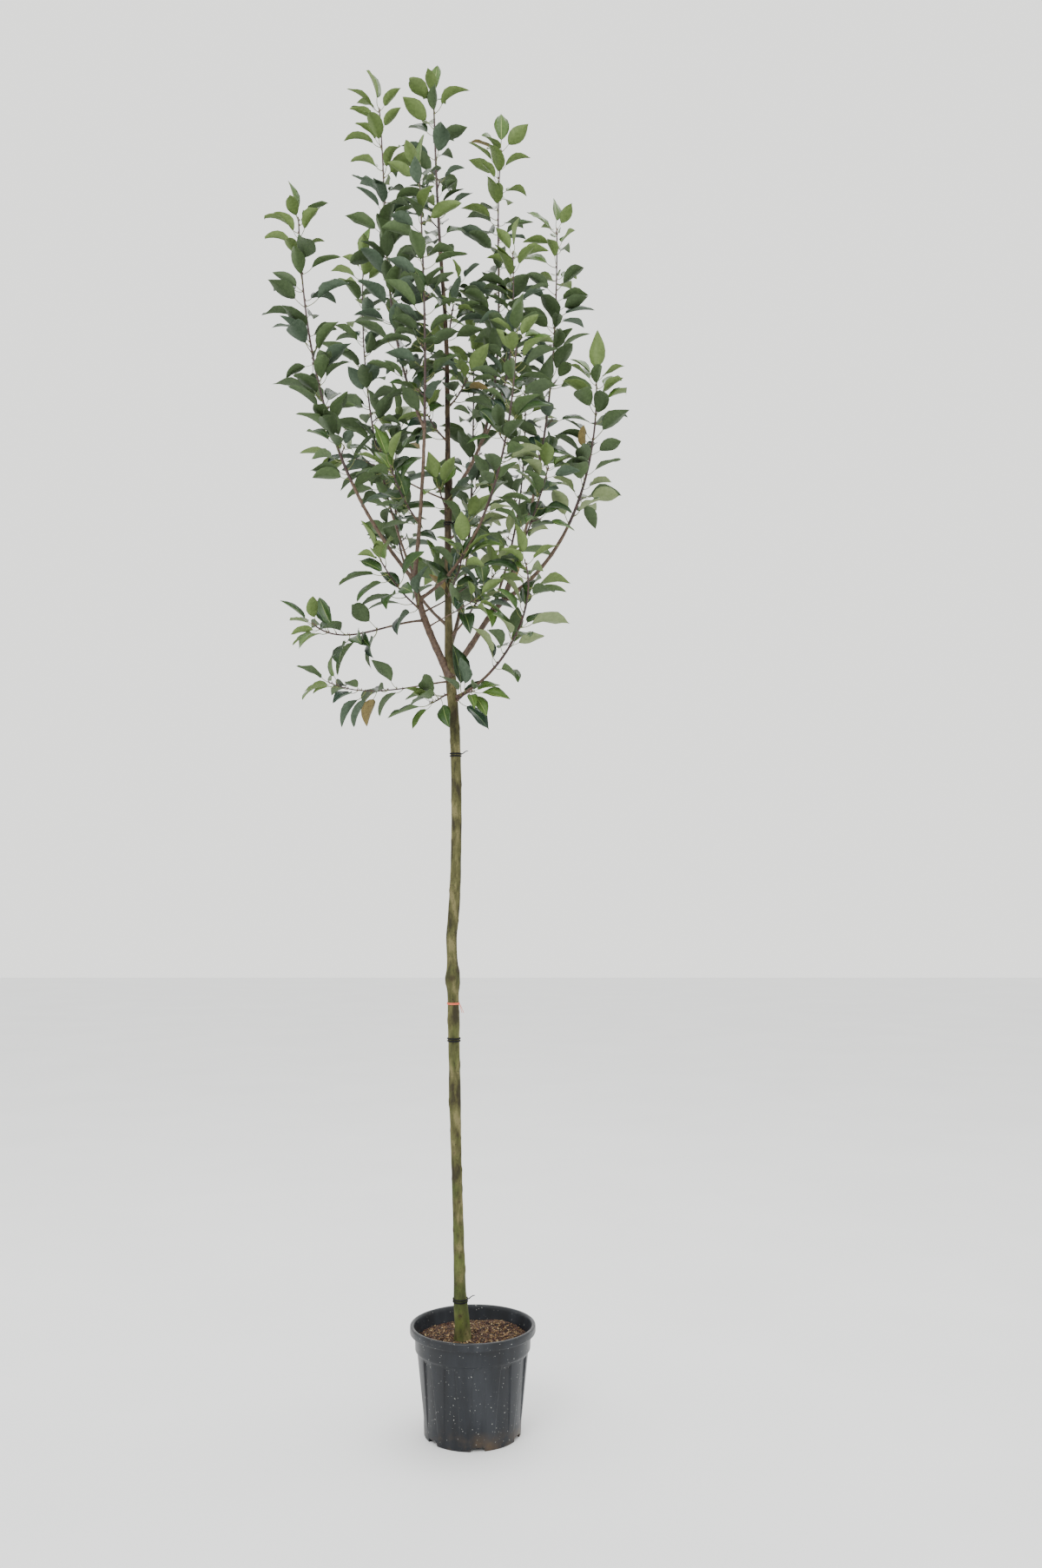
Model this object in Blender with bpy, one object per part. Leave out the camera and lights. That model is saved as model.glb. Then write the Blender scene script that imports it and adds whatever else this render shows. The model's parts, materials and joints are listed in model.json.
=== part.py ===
"""A young apple tree on a clear stem, growing in a moulded plastic nursery container.

The stem rises about 2.1 m before the first boughs. Long upright shoots carry the leaves, one every few
centimetres, turning 144 degrees from leaf to leaf. Metres, +Z up. The origin is the middle of the flat
underside of the container. The front, which is the side that is seen first, looks to -Y.
"""

import math
import random
from collections import namedtuple

import bmesh
import bpy
import numpy as np
from mathutils import Matrix, Vector
from mathutils.bvhtree import BVHTree

MM = 0.001
GAP = 0.3 * MM
UP = Vector((0, 0, 1))

# Container: a 20 litre pot with a rolled lip, a collar, and flutes that widen and fade downwards
RIM_HEIGHT = 0.298
RIM_RADIUS = 0.178
FOOT_RADIUS = 0.1366
FOOT_FLARE = 1.6 * MM
FLOOR_THICKNESS = 0.012
COLLAR_HEIGHT = 0.228
COLLAR_RADIUS = 0.163
BODY_TOP_RADIUS = 0.157
WALL = 2.6 * MM
FLUTES = 12
FLUTE_TURN = 8.0
FLUTE_DEPTH = 3.0 * MM
FLUTE_TOP = 0.221
FLUTE_END = 0.034
FLUTE_HALF_TOP = 6.0
FLUTE_HALF_END = 10.0
FLUTE_EDGE = 1.6
NOTCHES = 6
NOTCH_WIDTH = 0.038
NOTCH_HEIGHT = 0.010
NOTCH_DEPTH = 0.010
INNER_STEP = 0.270
INNER_LEDGE = 2.0 * MM
LIP_HEIGHT = 0.022
LIP_ROLL = 5.0 * MM
LIP_TOP_WIDTH = 7.5 * MM
LIP_WIDTH = 11.5 * MM
EDGE_ROUND = 2.5 * MM

# Potting bark: dished a little round the stem
SOIL_EDGE = 0.277
SOIL_FOOT = 0.268
SOIL_BUMP = 3.0 * MM
SOIL_SIDES = 24
SOIL_RINGS = (0.16, 0.42, 0.72, 1.0)

# Stem and leader: height, x, y and diameter where its line or its thickness changes
TRUNK = (
    (0.2683, -0.027, -0.035, 0.047),
    (0.295, -0.028, -0.035, 0.0435),
    (0.355, -0.033, -0.035, 0.040),
    (0.400, -0.036, -0.034, 0.035),
    (0.480, -0.038, -0.033, 0.0325),
    (0.870, -0.051, -0.020, 0.032),
    (0.945, -0.053, -0.017, 0.0345),
    (1.020, -0.055, -0.014, 0.032),
    (1.155, -0.058, -0.010, 0.0345),
    (1.235, -0.060, -0.008, 0.034),
    (1.268, -0.061, -0.007, 0.041),
    (1.302, -0.062, -0.005, 0.033),
    (1.385, -0.065, -0.002, 0.0315),
    (1.475, -0.058, 0.000, 0.033),
    (1.585, -0.054, 0.000, 0.031),
    (1.867, -0.054, 0.000, 0.030),
    (2.015, -0.060, 0.000, 0.030),
    (2.120, -0.069, 0.000, 0.031),
    (2.210, -0.075, 0.000, 0.028),
    (2.350, -0.079, 0.000, 0.0215),
    (2.600, -0.081, 0.000, 0.021),
    (2.700, -0.080, 0.000, 0.024),
    (2.790, -0.082, 0.000, 0.0175),
    (3.010, -0.085, 0.000, 0.0145),
    (3.200, -0.090, 0.000, 0.0125),
    (3.440, -0.107, 0.000, 0.0105),
)
TRUNK_SIDES = 10

# A limb leaves its parent at the height "fork". Directions are a heading in degrees, 0 to the right and
# 90 to the back, and a lean from the vertical. "bare" is the share of its length that carries no leaves.
Limb = namedtuple("Limb", "name parent fork leave tip arrive thick thin bare first_leaf")
LIMBS = (
    Limb("left_main", "trunk", 2.145, (195, 27), (-0.178, -0.050, 2.445), (235, 12), 24, 17, 1.0, 0),
    Limb("left_inner", "left_main", 2.432, (305, 12), (-0.158, -0.200, 3.590), (190, 3), 13, 4, 0.38, 40),
    Limb("left_high", "left_inner", 2.855, (150, 26), (-0.300, 0.030, 3.920), (185, 5), 9, 4, 0.10, 150),
    Limb("left_outer", "left_main", 2.425, (192, 42), (-0.515, -0.140, 3.480), (170, 3), 12, 4, 0.30, 200),
    Limb("left_back", "left_main", 2.435, (118, 40), (-0.372, 0.250, 3.530), (316, 3), 8, 4, 0.24, 70),
    Limb("left_low", "left_main", 2.312, (201, 95), (-0.455, -0.150, 2.276), (177, 49), 7, 4, 0.34, 250),
    Limb("front_cross", "left_main", 2.372, (325, 72), (0.124, -0.300, 3.060), (70, 4), 11, 4, 0.40, 330),
    Limb("behind_cross", "left_main", 2.335, (28, 62), (0.068, 0.130, 2.535), (20, 45), 5, 3, 0.52, 20),
    Limb("front_twig", "left_main", 2.292, (318, 72), (0.005, -0.130, 2.352), (340, 60), 4.5, 3, 0.55, 60),
    Limb("right_main", "trunk", 2.170, (15, 50), (0.105, 0.030, 2.398), (8, 56), 20, 15, 1.0, 0),
    Limb("right_outer", "right_main", 2.390, (352, 58), (0.358, -0.080, 3.025), (122, 3), 14, 4, 0.40, 300),
    Limb("right_inner", "right_main", 2.385, (52, 26), (0.252, 0.250, 3.650), (261, 2), 11, 4, 0.32, 110),
    Limb("right_fill", "right_main", 2.375, (300, 35), (0.215, -0.130, 2.740), (40, 15), 7, 3.5, 0.42, 180),
    Limb("right_back", "right_main", 2.300, (72, 52), (0.150, 0.370, 3.150), (250, 4), 10, 4, 0.36, 10),
    Limb("right_low", "trunk", 2.085, (328, 78), (0.148, -0.180, 2.450), (155, 18), 10, 4, 0.30, 290),
    Limb("right_twig", "trunk", 2.262, (345, 48), (0.060, -0.070, 2.440), (10, 35), 7, 4, 0.40, 0),
    Limb("low_twig", "trunk", 2.136, (222, 100), (-0.421, -0.070, 2.122), (179, 64), 5.5, 3, 0.40, 270),
    Limb("back_main", "trunk", 2.230, (80, 52), (-0.020, 0.380, 3.370), (270, 4), 13, 4, 0.38, 95),
    Limb("back_left", "trunk", 2.300, (140, 55), (-0.270, 0.385, 3.060), (320, 4), 10, 4, 0.40, 220),
    Limb("leader_right", "trunk", 2.690, (40, 42), (0.073, 0.190, 3.880), (357, 5), 12, 4, 0.24, 130),
    Limb("leader_side", "leader_right", 2.880, (330, 40), (0.112, -0.030, 3.430), (100, 6), 7, 3.5, 0.30, 15),
    Limb("leader_left", "trunk", 2.680, (176, 70), (-0.402, 0.050, 2.835), (171, 76), 6, 3, 0.50, 45),
    Limb("left_spray", "left_inner", 2.590, (225, 55), (-0.235, -0.180, 2.725), (200, 20), 6, 4, 0.0, 110),
    Limb("left_fill", "left_main", 2.340, (215, 60), (-0.265, -0.175, 2.460), (215, 35), 6, 4, 0.0, 70),
    Limb("front_fill", "trunk", 2.385, (285, 62), (-0.030, -0.165, 2.480), (285, 30), 6, 4, 0.0, 160),
    Limb("back_fill", "trunk", 2.400, (110, 60), (-0.120, 0.190, 2.520), (110, 30), 6, 4, 0.0, 250),
    Limb("foot_left", "trunk", 2.100, (205, 100), (-0.128, -0.050, 2.062), (200, 110), 6, 4, 0.0, 200),
    Limb("foot_right", "trunk", 2.070, (325, 70), (0.000, -0.065, 2.095), (330, 95), 6, 4, 0.0, 330),
    Limb("spur_a", "trunk", 2.560, (355, 60), (-0.018, -0.020, 2.610), (0, 40), 7, 4, 0.0, 300),
    Limb("spur_b", "trunk", 2.640, (250, 60), (-0.105, -0.060, 2.700), (250, 40), 6, 4, 0.0, 180),
    Limb("spur_c", "trunk", 2.860, (215, 60), (-0.140, -0.040, 2.925), (215, 35), 6, 4, 0.0, 100),
    Limb("spur_d", "trunk", 2.965, (340, 58), (-0.025, -0.030, 3.040), (340, 30), 6, 4, 0.0, 320),
    Limb("spur_e", "trunk", 3.080, (150, 55), (-0.140, 0.050, 3.160), (150, 30), 6, 4, 0.0, 130),
    Limb("spur_f", "trunk", 3.170, (300, 50), (-0.065, -0.060, 3.250), (300, 30), 5.5, 4, 0.0, 270),
    Limb("spur_g", "trunk", 3.290, (30, 50), (-0.050, 0.035, 3.370), (30, 30), 5.5, 4, 0.0, 20),
    Limb("leader_tip", "trunk", 3.440, (180, 4), (-0.131, 0.000, 3.935), (180, 2), 10, 5, 0.0, 60),
)
PULL = 0.35
TAPER = 0.8
CHORDS = 24
BOUGH_SIDES = 7
STEM_SIDES = 3
SPUR_SIDES = 3
SECTION_LENGTH = 0.11

# Leaves: oval, folded along the midrib and arched over, each on a thin stalk. Angles are in degrees, a pair
# is the least and the most, and sizes are shares of the full leaf.
LEAF_LENGTH = 0.106
LEAF_SPREAD = 0.66
WIDTH_VARIES = (0.88, 1.08)
LEAF_THICKNESS = 2.0 * MM
STALK_SHARE = 0.36
STALK_VARIES = (0.75, 1.15)
STALK_RADIUS = 1.4 * MM
WIDEST = 0.45
BEND = (35, 95)
FOLD = (14, 40)
ROLL = 38
FACING = (0.45, 0.75, -0.15)
NODE_SPACING = 0.046
LEAF_TURN = 144
LEAF_LEAN = (44, 68)
LEAF_SIZE = (0.82, 1.14)
YOUNG_SHARE = 0.16
YOUNG_LEAN = (32, 50)
YOUNG_SIZE = (0.62, 0.85)
TIP_LEAVES = ((60, 50, 0.75), (45, 40, 0.80), (9, 18, 0.95))
SLIGHT_LIMB = 6
SLIGHT_LEAVES = 0.75
SPUR_SHARE = 0.55
SPUR_EVERY = 3
SPUR_LENGTH = 0.030
SPUR_RADIUS = 2.6 * MM
SPUR_LEAVES = 3
SPUR_LEAN = (50, 68)
WHORL_LEAN = (35, 75)
WHORL_SIZE = (0.6, 0.95)
LEAST_SPURRED = 0.25
WHORL_STEP = 4.5 * MM
WHORL_INSET = 2.0 * MM

# A three-sided twig is drawn wider, so that it is as thick as a round one. A leaf that touches something is
# turned a little to either side, and made a little smaller, a few times before it is given up.
THREE_SIDED = 1.45
TRIES = 9
SWING = 0.16
SHRINK = 0.03
CLEARANCE = 1.6 * MM
FREE_STALK = 0.45

Leaf = namedtuple("Leaf", "root out base ahead side normal length width bend fold")


def heading(degrees, lean):
    """Unit vector from a heading round the vertical and a lean away from it."""
    a, b = math.radians(degrees), math.radians(lean)
    return Vector((math.cos(a) * math.sin(b), math.sin(a) * math.sin(b), math.cos(b)))


def square_to(along):
    """A unit vector square to a direction."""
    reference = Vector((1, 0, 0)) if abs(along.x) < 0.8 else Vector((0, 1, 0))
    return (reference - along * reference.dot(along)).normalized()


def trunk_point(height):
    """Centre and radius of the trunk at a height: cubic pieces through its stations, slopes by differences."""
    z, *columns = (np.array(column) for column in zip(*TRUNK))
    i = int(np.clip(np.searchsorted(z, height) - 1, 0, len(z) - 2))
    span = z[i + 1] - z[i]
    t = (height - z[i]) / span
    found = []
    for values in columns:
        slopes = np.gradient(values, z)
        found.append(float(
            values[i] * (1 + 2 * t) * (1 - t) ** 2
            + values[i + 1] * t * t * (3 - 2 * t)
            + span * (slopes[i] * t * (1 - t) ** 2 - slopes[i + 1] * t * t * (1 - t))
        ))
    return Vector((found[0], found[1], height)), found[2] / 2


class Course:
    """The centre line of one limb: a cubic curve from its parent's middle to its tip, and its taper."""

    def __init__(self, limb, courses):
        on_trunk = limb.parent == "trunk"
        foot = trunk_point(limb.fork)[0] if on_trunk else courses[limb.parent].at_height(limb.fork)
        tip = Vector(limb.tip)
        reach = PULL * (tip - foot).length
        self.limb = limb
        self.controls = (foot, foot + reach * heading(*limb.leave), tip - reach * heading(*limb.arrive), tip)
        chords = [(self.point((i + 1) / CHORDS) - self.point(i / CHORDS)).length for i in range(CHORDS)]
        self.length = sum(chords)

    def point(self, t):
        a, b, c, d = self.controls
        s = 1 - t
        return s**3 * a + 3 * s * s * t * b + 3 * s * t * t * c + t**3 * d

    def tangent(self, t):
        step = 0.01
        return (self.point(min(t + step, 1)) - self.point(max(t - step, 0))).normalized()

    def radius(self, t):
        return 0.5 * MM * (self.limb.thick + (self.limb.thin - self.limb.thick) * t**TAPER)

    def at_height(self, height):
        """The point of the curve at a height, by halving, for a curve that climbs."""
        low, high = 0.0, 1.0
        for _ in range(40):
            middle = (low + high) / 2
            if self.point(middle).z < height:
                low = middle
            else:
                high = middle
        return self.point(low)

    def stations(self, start, end, least=3):
        """Evenly spaced shares of the curve from start to end, about a section apart."""
        count = max(least, math.ceil(self.length * (end - start) / SECTION_LENGTH) + 1)
        return np.linspace(start, end, count).tolist()


def tube(points, radii, sides, ways=None):
    """Vertices and faces of a tube with flat ends: one ring of points round each centre, square to the line,
    each ring's first direction carried on from the ring before."""
    verts, faces = [], []
    across = None
    for i, (centre, radius) in enumerate(zip(points, radii)):
        along = ways[i] if ways else (points[min(i + 1, len(points) - 1)] - points[max(i - 1, 0)]).normalized()
        if across is None:
            across = along.cross(Vector((0, 1, 0)) if abs(along.y) < 0.9 else Vector((1, 0, 0)))
        across = (across - along * across.dot(along)).normalized()
        third = along.cross(across)
        for k in range(sides):
            angle = 2 * math.pi * k / sides
            verts.append(centre + radius * (math.cos(angle) * across + math.sin(angle) * third))
    for i in range(len(points) - 1):
        for k in range(sides):
            a, b = i * sides + k, i * sides + (k + 1) % sides
            faces.append((a, b, b + sides, a + sides))
    faces.append(tuple(reversed(range(sides))))
    faces.append(tuple(range(len(verts) - sides, len(verts))))
    return verts, faces


def course_tube(course, start, end, sides, grow=0.0):
    shares = course.stations(start, end)
    wider = THREE_SIDED if sides == 3 else 1.0
    points = [course.point(t) for t in shares]
    points[0] = points[0] - grow * course.tangent(start)
    points[-1] = points[-1] + grow * course.tangent(end)
    ways = [course.tangent(t) for t in shares]
    return tube(points, [wider * course.radius(t) + grow for t in shares], sides, ways)


def trunk_tube(grow=0.0, sides=TRUNK_SIDES):
    heights = [station[0] for station in TRUNK]
    heights += [(a + b) / 2 for a, b in zip(heights, heights[1:]) if b - a > 0.18]
    found = [trunk_point(height) for height in sorted(heights)]
    points = [point for point, _ in found]
    points[0] = points[0] - grow * UP
    points[-1] = points[-1] + grow * UP
    verts, faces = tube(points, [radius + grow for _, radius in found], sides)
    for v in verts[:sides]:
        v.z = points[0].z
    return verts, faces


def make_leaf(root, along, around, lean, size, rng, bend=None):
    """A leaf's own frame. It leaves the twig at an angle to it, its stalk is straight, and its upper face
    is turned up and towards the twig's tip, with a little roll."""
    first = square_to(along)
    outward = math.cos(around) * first + math.sin(around) * along.cross(first)
    out = (math.cos(lean) * along + math.sin(lean) * outward).normalized()
    length = LEAF_LENGTH * size
    stalk = length * STALK_SHARE * rng.uniform(*STALK_VARIES)
    ahead = (out + 0.12 * UP * rng.uniform(-1, 1)).normalized()
    facing = (FACING[0] * along + FACING[1] * UP + FACING[2] * out).normalized()
    side = ahead.cross(facing)
    if side.length < 0.15:
        side = ahead.cross(-outward)
    side = Matrix.Rotation(math.radians(rng.uniform(-ROLL, ROLL)), 3, ahead) @ side.normalized()
    turned = math.radians(rng.uniform(*BEND)) if bend is None else bend
    return Leaf(
        root=root,
        out=out,
        base=root + stalk * out,
        ahead=ahead,
        side=side,
        normal=side.cross(ahead),
        length=length,
        width=length * LEAF_SPREAD * rng.uniform(*WIDTH_VARIES),
        bend=turned,
        fold=math.radians(rng.uniform(*FOLD)),
    )


def midrib(leaf, share):
    """Point and local upward direction of the midrib: an arc that turns by leaf.bend over the whole length."""
    angle = leaf.bend * share
    reach = leaf.length / leaf.bend
    point = leaf.base + reach * (math.sin(angle) * leaf.ahead - (1 - math.cos(angle)) * leaf.normal)
    return point, math.cos(angle) * leaf.normal + math.sin(angle) * leaf.ahead


def leaf_solid(leaf, grow=0.0, start=0.0):
    """Eleven points: a three-sided stalk, four round the widest place of the folded blade, and its tip."""
    root = leaf.root + start * (leaf.base - leaf.root)
    thin = STALK_RADIUS + grow
    verts = []
    for centre, radius in ((root, 0.75 * thin), (leaf.base, 0.95 * thin)):
        verts += [
            centre - radius * leaf.side + 0.5 * radius * leaf.normal,
            centre + radius * leaf.side + 0.5 * radius * leaf.normal,
            centre - radius * leaf.normal,
        ]
    centre, normal = midrib(leaf, WIDEST)
    half = leaf.width / 2 + grow
    rise = math.sin(leaf.fold) * half * normal
    spread = math.cos(leaf.fold) * half * leaf.side
    thick = (LEAF_THICKNESS / 2 + grow) * normal
    tip, _ = midrib(leaf, 1.0)
    verts += [centre + rise - spread, centre + thick, centre + rise + spread, centre - thick]
    verts.append(tip + grow * (tip - centre).normalized())
    faces = [(0, 2, 1), (0, 1, 4, 3), (1, 2, 5, 4), (2, 0, 3, 5)]
    faces += [(3, 4, 7), (3, 7, 6), (4, 8, 7), (3, 6, 9), (3, 9, 5), (4, 5, 9), (4, 9, 8)]
    faces += [(6, 7, 10), (7, 8, 10), (8, 9, 10), (9, 6, 10)]
    return verts, faces


class Room:
    """The room that is taken: closed shapes, each with the ball round it."""

    def __init__(self):
        self.centres = np.zeros((0, 3))
        self.reaches = np.zeros(0)
        self.trees = []

    def take(self, shape, ask=True):
        """Takes the shape's room and says so, or leaves it if something stands there already."""
        verts, faces = shape
        points = np.array(verts)
        centre = points.mean(axis=0)
        reach = np.linalg.norm(points - centre, axis=1).max()
        tree = BVHTree.FromPolygons(verts, faces)
        near = np.linalg.norm(self.centres - centre, axis=1) < self.reaches + reach
        if ask and any(self.trees[i].overlap(tree) for i in np.flatnonzero(near)):
            return False
        self.centres = np.vstack([self.centres, centre])
        self.reaches = np.append(self.reaches, reach)
        self.trees.append(tree)
        return True


def try_leaf(room, root, along, around, lean, size, rng, bend=None):
    """A leaf that clears all that stands already, or None after a few turns of its stalk."""
    for attempt in range(TRIES):
        swing = SWING * attempt * (1 if attempt % 2 else -1)
        leaf = make_leaf(root, along, around + swing, lean, size * (1 - SHRINK * attempt), rng, bend)
        if room.take(leaf_solid(leaf, CLEARANCE, FREE_STALK)):
            return leaf
    return None


def grow_spur(room, root, along, around, vigour, rng):
    """A short woody twig with a whorl of leaves at its end."""
    first = square_to(along)
    outward = math.cos(around) * first + math.sin(around) * along.cross(first)
    lean = math.radians(rng.uniform(*SPUR_LEAN))
    way = (math.cos(lean) * along + math.sin(lean) * outward + 0.2 * UP).normalized()
    length = SPUR_LENGTH * rng.uniform(0.7, 1.3)
    points = [root, root + way * length]
    outer = [root + 0.5 * length * way, root + 1.1 * length * way]
    if not room.take(tube(outer, [SPUR_RADIUS] * 2, SPUR_SIDES)):
        return None, []
    leaves = []
    turn = rng.uniform(0, 2 * math.pi)
    for k in range(SPUR_LEAVES):
        end = points[1] - (WHORL_INSET + (SPUR_LEAVES - 1 - k) * WHORL_STEP) * way
        lean = math.radians(rng.uniform(*WHORL_LEAN))
        size = vigour * rng.uniform(*WHORL_SIZE)
        leaf = try_leaf(room, end, way, turn + k * math.radians(LEAF_TURN), lean, size, rng)
        if leaf:
            leaves.append(leaf)
    return (points, [1.15 * SPUR_RADIUS, SPUR_RADIUS]), leaves


def grow_mass(course, room):
    """All leaves and spurs of one limb, from its bare part to its tip."""
    limb = course.limb
    rng = random.Random(limb.name)
    vigour = SLIGHT_LEAVES if limb.thick < SLIGHT_LIMB else 1.0
    leafy = course.length * (1 - limb.bare)
    count = max(3, round(leafy / NODE_SPACING))
    leaves, spurs = [], []
    for k in range(count):
        share = (k + 0.6 + rng.uniform(-0.2, 0.2)) / count
        t = limb.bare + (1 - limb.bare) * share
        root, along = course.point(t), course.tangent(t)
        around = math.radians(limb.first_leaf + LEAF_TURN * k + rng.uniform(-18, 18))
        if share < SPUR_SHARE and k % SPUR_EVERY == 1 and leafy > LEAST_SPURRED:
            spur, more = grow_spur(room, root, along, around, vigour, rng)
            if spur and more:
                spurs.append(spur)
                leaves += more
                continue
        if share > 1 - YOUNG_SHARE:
            lean, size = rng.uniform(*YOUNG_LEAN), rng.uniform(*YOUNG_SIZE)
        else:
            lean, size = rng.uniform(*LEAF_LEAN), rng.uniform(*LEAF_SIZE)
        leaf = try_leaf(room, root, along, around, math.radians(lean), vigour * size, rng)
        if leaf:
            leaves.append(leaf)
    along = course.tangent(1)
    turn = math.radians(limb.first_leaf + 60)
    for k, (lean, bend, size) in enumerate(TIP_LEAVES):
        root = course.point(1) - (WHORL_INSET + (len(TIP_LEAVES) - 1 - k) * WHORL_STEP) * along
        lean = math.radians(lean * rng.uniform(0.8, 1.1))
        size *= vigour * rng.uniform(0.8, 1.1)
        bend = math.radians(bend * rng.uniform(0.7, 1.4))
        leaf = try_leaf(room, root, along, turn + k * math.radians(LEAF_TURN), lean, size, rng, bend)
        if leaf:
            leaves.append(leaf)
    return leaves, spurs


def clear_scene():
    for obj in list(bpy.data.objects):
        bpy.data.objects.remove(obj)


def material(name, colour, roughness):
    made = bpy.data.materials.new(name)
    made.use_nodes = True
    shader = made.node_tree.nodes["Principled BSDF"]
    shader.inputs["Base Color"].default_value = (*colour, 1)
    shader.inputs["Roughness"].default_value = roughness
    shader.inputs["Metallic"].default_value = 0.0
    return made


def mesh_object(name, shape, collection=None):
    """An object from vertices and faces, with its normals turned outwards."""
    verts, faces = shape
    mesh = bpy.data.meshes.new(name)
    mesh.from_pydata([tuple(v) for v in verts], [], faces)
    bm = bmesh.new()
    bm.from_mesh(mesh)
    bmesh.ops.recalc_face_normals(bm, faces=bm.faces)
    bm.to_mesh(mesh)
    bm.free()
    obj = bpy.data.objects.new(name, mesh)
    (collection or bpy.context.scene.collection).objects.link(obj)
    return obj


def boolean(obj, operation, others):
    """Joins or cuts obj with every object of a collection, applies it, and removes them."""
    helpers = bpy.data.collections.new("helpers")
    bpy.context.scene.collection.children.link(helpers)
    for other in others:
        for home in other.users_collection:
            home.objects.unlink(other)
        helpers.objects.link(other)
        other.hide_render = True
        other.display_type = "WIRE"
    modifier = obj.modifiers.new("join", "BOOLEAN")
    modifier.operation = operation
    modifier.operand_type = "COLLECTION"
    modifier.collection = helpers
    modifier.solver = "MANIFOLD"
    bpy.context.view_layer.update()
    graph = bpy.context.evaluated_depsgraph_get()
    made = bpy.data.meshes.new_from_object(obj.evaluated_get(graph))
    obj.modifiers.clear()
    obj.data = made
    for other in list(helpers.objects):
        bpy.data.objects.remove(other)
    bpy.data.collections.remove(helpers)


def keep_largest(obj):
    """Drops loose scraps, so that the object is one body."""
    bm = bmesh.new()
    bm.from_mesh(obj.data)
    bmesh.ops.triangulate(bm, faces=bm.faces)
    left, pieces = set(bm.verts), []
    while left:
        stack, piece = [left.pop()], []
        while stack:
            vert = stack.pop()
            piece.append(vert)
            for edge in vert.link_edges:
                other = edge.other_vert(vert)
                if other in left:
                    left.discard(other)
                    stack.append(other)
        pieces.append(piece)
    pieces.sort(key=len)
    for piece in pieces[:-1]:
        bmesh.ops.delete(bm, geom=piece, context="VERTS")
    bm.to_mesh(obj.data)
    bm.free()


def finish(obj, made, smooth=True):
    obj.data.materials.clear()
    obj.data.materials.append(made)
    if smooth:
        obj.data.shade_smooth()
        obj.data.set_sharp_from_angle(angle=math.radians(35))


def body_radius(height):
    """Outer radius of the ribs between the flutes."""
    share = (height - FLUTE_END) / (FLUTE_TOP - FLUTE_END)
    bottom = FOOT_RADIUS + FOOT_FLARE
    return bottom + (BODY_TOP_RADIUS - bottom) * share


def inner_radius(height):
    """The inside of the wall, behind the flutes below the collar."""
    if height > COLLAR_HEIGHT:
        share = (height - COLLAR_HEIGHT) / (INNER_STEP - COLLAR_HEIGHT)
        low, high = BODY_TOP_RADIUS - INNER_LEDGE, COLLAR_RADIUS - INNER_LEDGE / 2
        return low + share * (high - low)
    return body_radius(height) - FLUTE_DEPTH - WALL


def make_pot(made):
    """Rings of points from the underside up the outside, over the lip and down the inside."""
    rings = [(0.0, FOOT_RADIUS - EDGE_ROUND, 0.0), (EDGE_ROUND, FOOT_RADIUS, 0.0)]
    for share in (0.0, 0.5, 1.0):
        height = FLUTE_END + (FLUTE_TOP - FLUTE_END) * share
        rings.append((height, body_radius(height), FLUTE_DEPTH * share**0.5))
    rings += [
        (FLUTE_TOP + EDGE_ROUND, BODY_TOP_RADIUS, 0.0),
        (COLLAR_HEIGHT, COLLAR_RADIUS, 0.0),
        (RIM_HEIGHT - LIP_HEIGHT - EDGE_ROUND, COLLAR_RADIUS + EDGE_ROUND / 2, 0.0),
        (RIM_HEIGHT - LIP_HEIGHT, RIM_RADIUS - EDGE_ROUND, 0.0),
        (RIM_HEIGHT - LIP_HEIGHT + EDGE_ROUND, RIM_RADIUS, 0.0),
    ]
    for angle in (0, 50):
        a = math.radians(angle)
        level = RIM_HEIGHT - LIP_ROLL * (1 - math.sin(a))
        rings.append((level, RIM_RADIUS - LIP_ROLL * (1 - math.cos(a)), 0.0))
    rings += [
        (RIM_HEIGHT, RIM_RADIUS - LIP_TOP_WIDTH, 0.0),
        (RIM_HEIGHT - EDGE_ROUND, RIM_RADIUS - LIP_WIDTH, 0.0),
        (INNER_STEP, inner_radius(INNER_STEP), 0.0),
        (COLLAR_HEIGHT, inner_radius(COLLAR_HEIGHT), 0.0),
        (FLUTE_TOP, inner_radius(FLUTE_TOP), 0.0),
        (FLOOR_THICKNESS, inner_radius(FLOOR_THICKNESS), 0.0),
    ]
    verts = []
    for height, radius, depth in rings:
        fade = min(max((FLUTE_TOP - height) / (FLUTE_TOP - FLUTE_END), 0), 1)
        half = FLUTE_HALF_TOP + (FLUTE_HALF_END - FLUTE_HALF_TOP) * fade
        offsets = ((-half - FLUTE_EDGE, 0), (-half, depth), (half, depth), (half + FLUTE_EDGE, 0))
        for flute in range(FLUTES):
            middle = 270 + FLUTE_TURN + 360 / FLUTES * flute
            for offset, sunk in offsets:
                angle = math.radians(middle + offset)
                r = radius - sunk
                verts.append(Vector((r * math.cos(angle), r * math.sin(angle), height)))
    around = len(offsets) * FLUTES
    faces = [tuple(reversed(range(around)))]
    for i in range(len(rings) - 1):
        for k in range(around):
            a, b = i * around + k, i * around + (k + 1) % around
            faces.append((a, b, b + around, a + around))
    faces.append(tuple(range(len(verts) - around, len(verts))))
    pot = mesh_object("pot", (verts, faces))
    cutters = []
    for notch in range(NOTCHES):
        angle = math.radians(270 + FLUTE_TURN + 360 / NOTCHES * notch)
        bpy.ops.mesh.primitive_cube_add(size=1)
        cutter = bpy.context.object
        cutter.name = f"notch_cutter_{notch}"
        turn = Matrix.Rotation(angle, 4, "Z") @ Matrix.Translation((FOOT_RADIUS, 0, 0))
        scale = Matrix.Diagonal((2 * NOTCH_DEPTH, NOTCH_WIDTH, 2 * NOTCH_HEIGHT, 1))
        cutter.data.transform(turn @ scale)
        cutters.append(cutter)
    boolean(pot, "DIFFERENCE", cutters)
    finish(pot, made)


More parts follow.
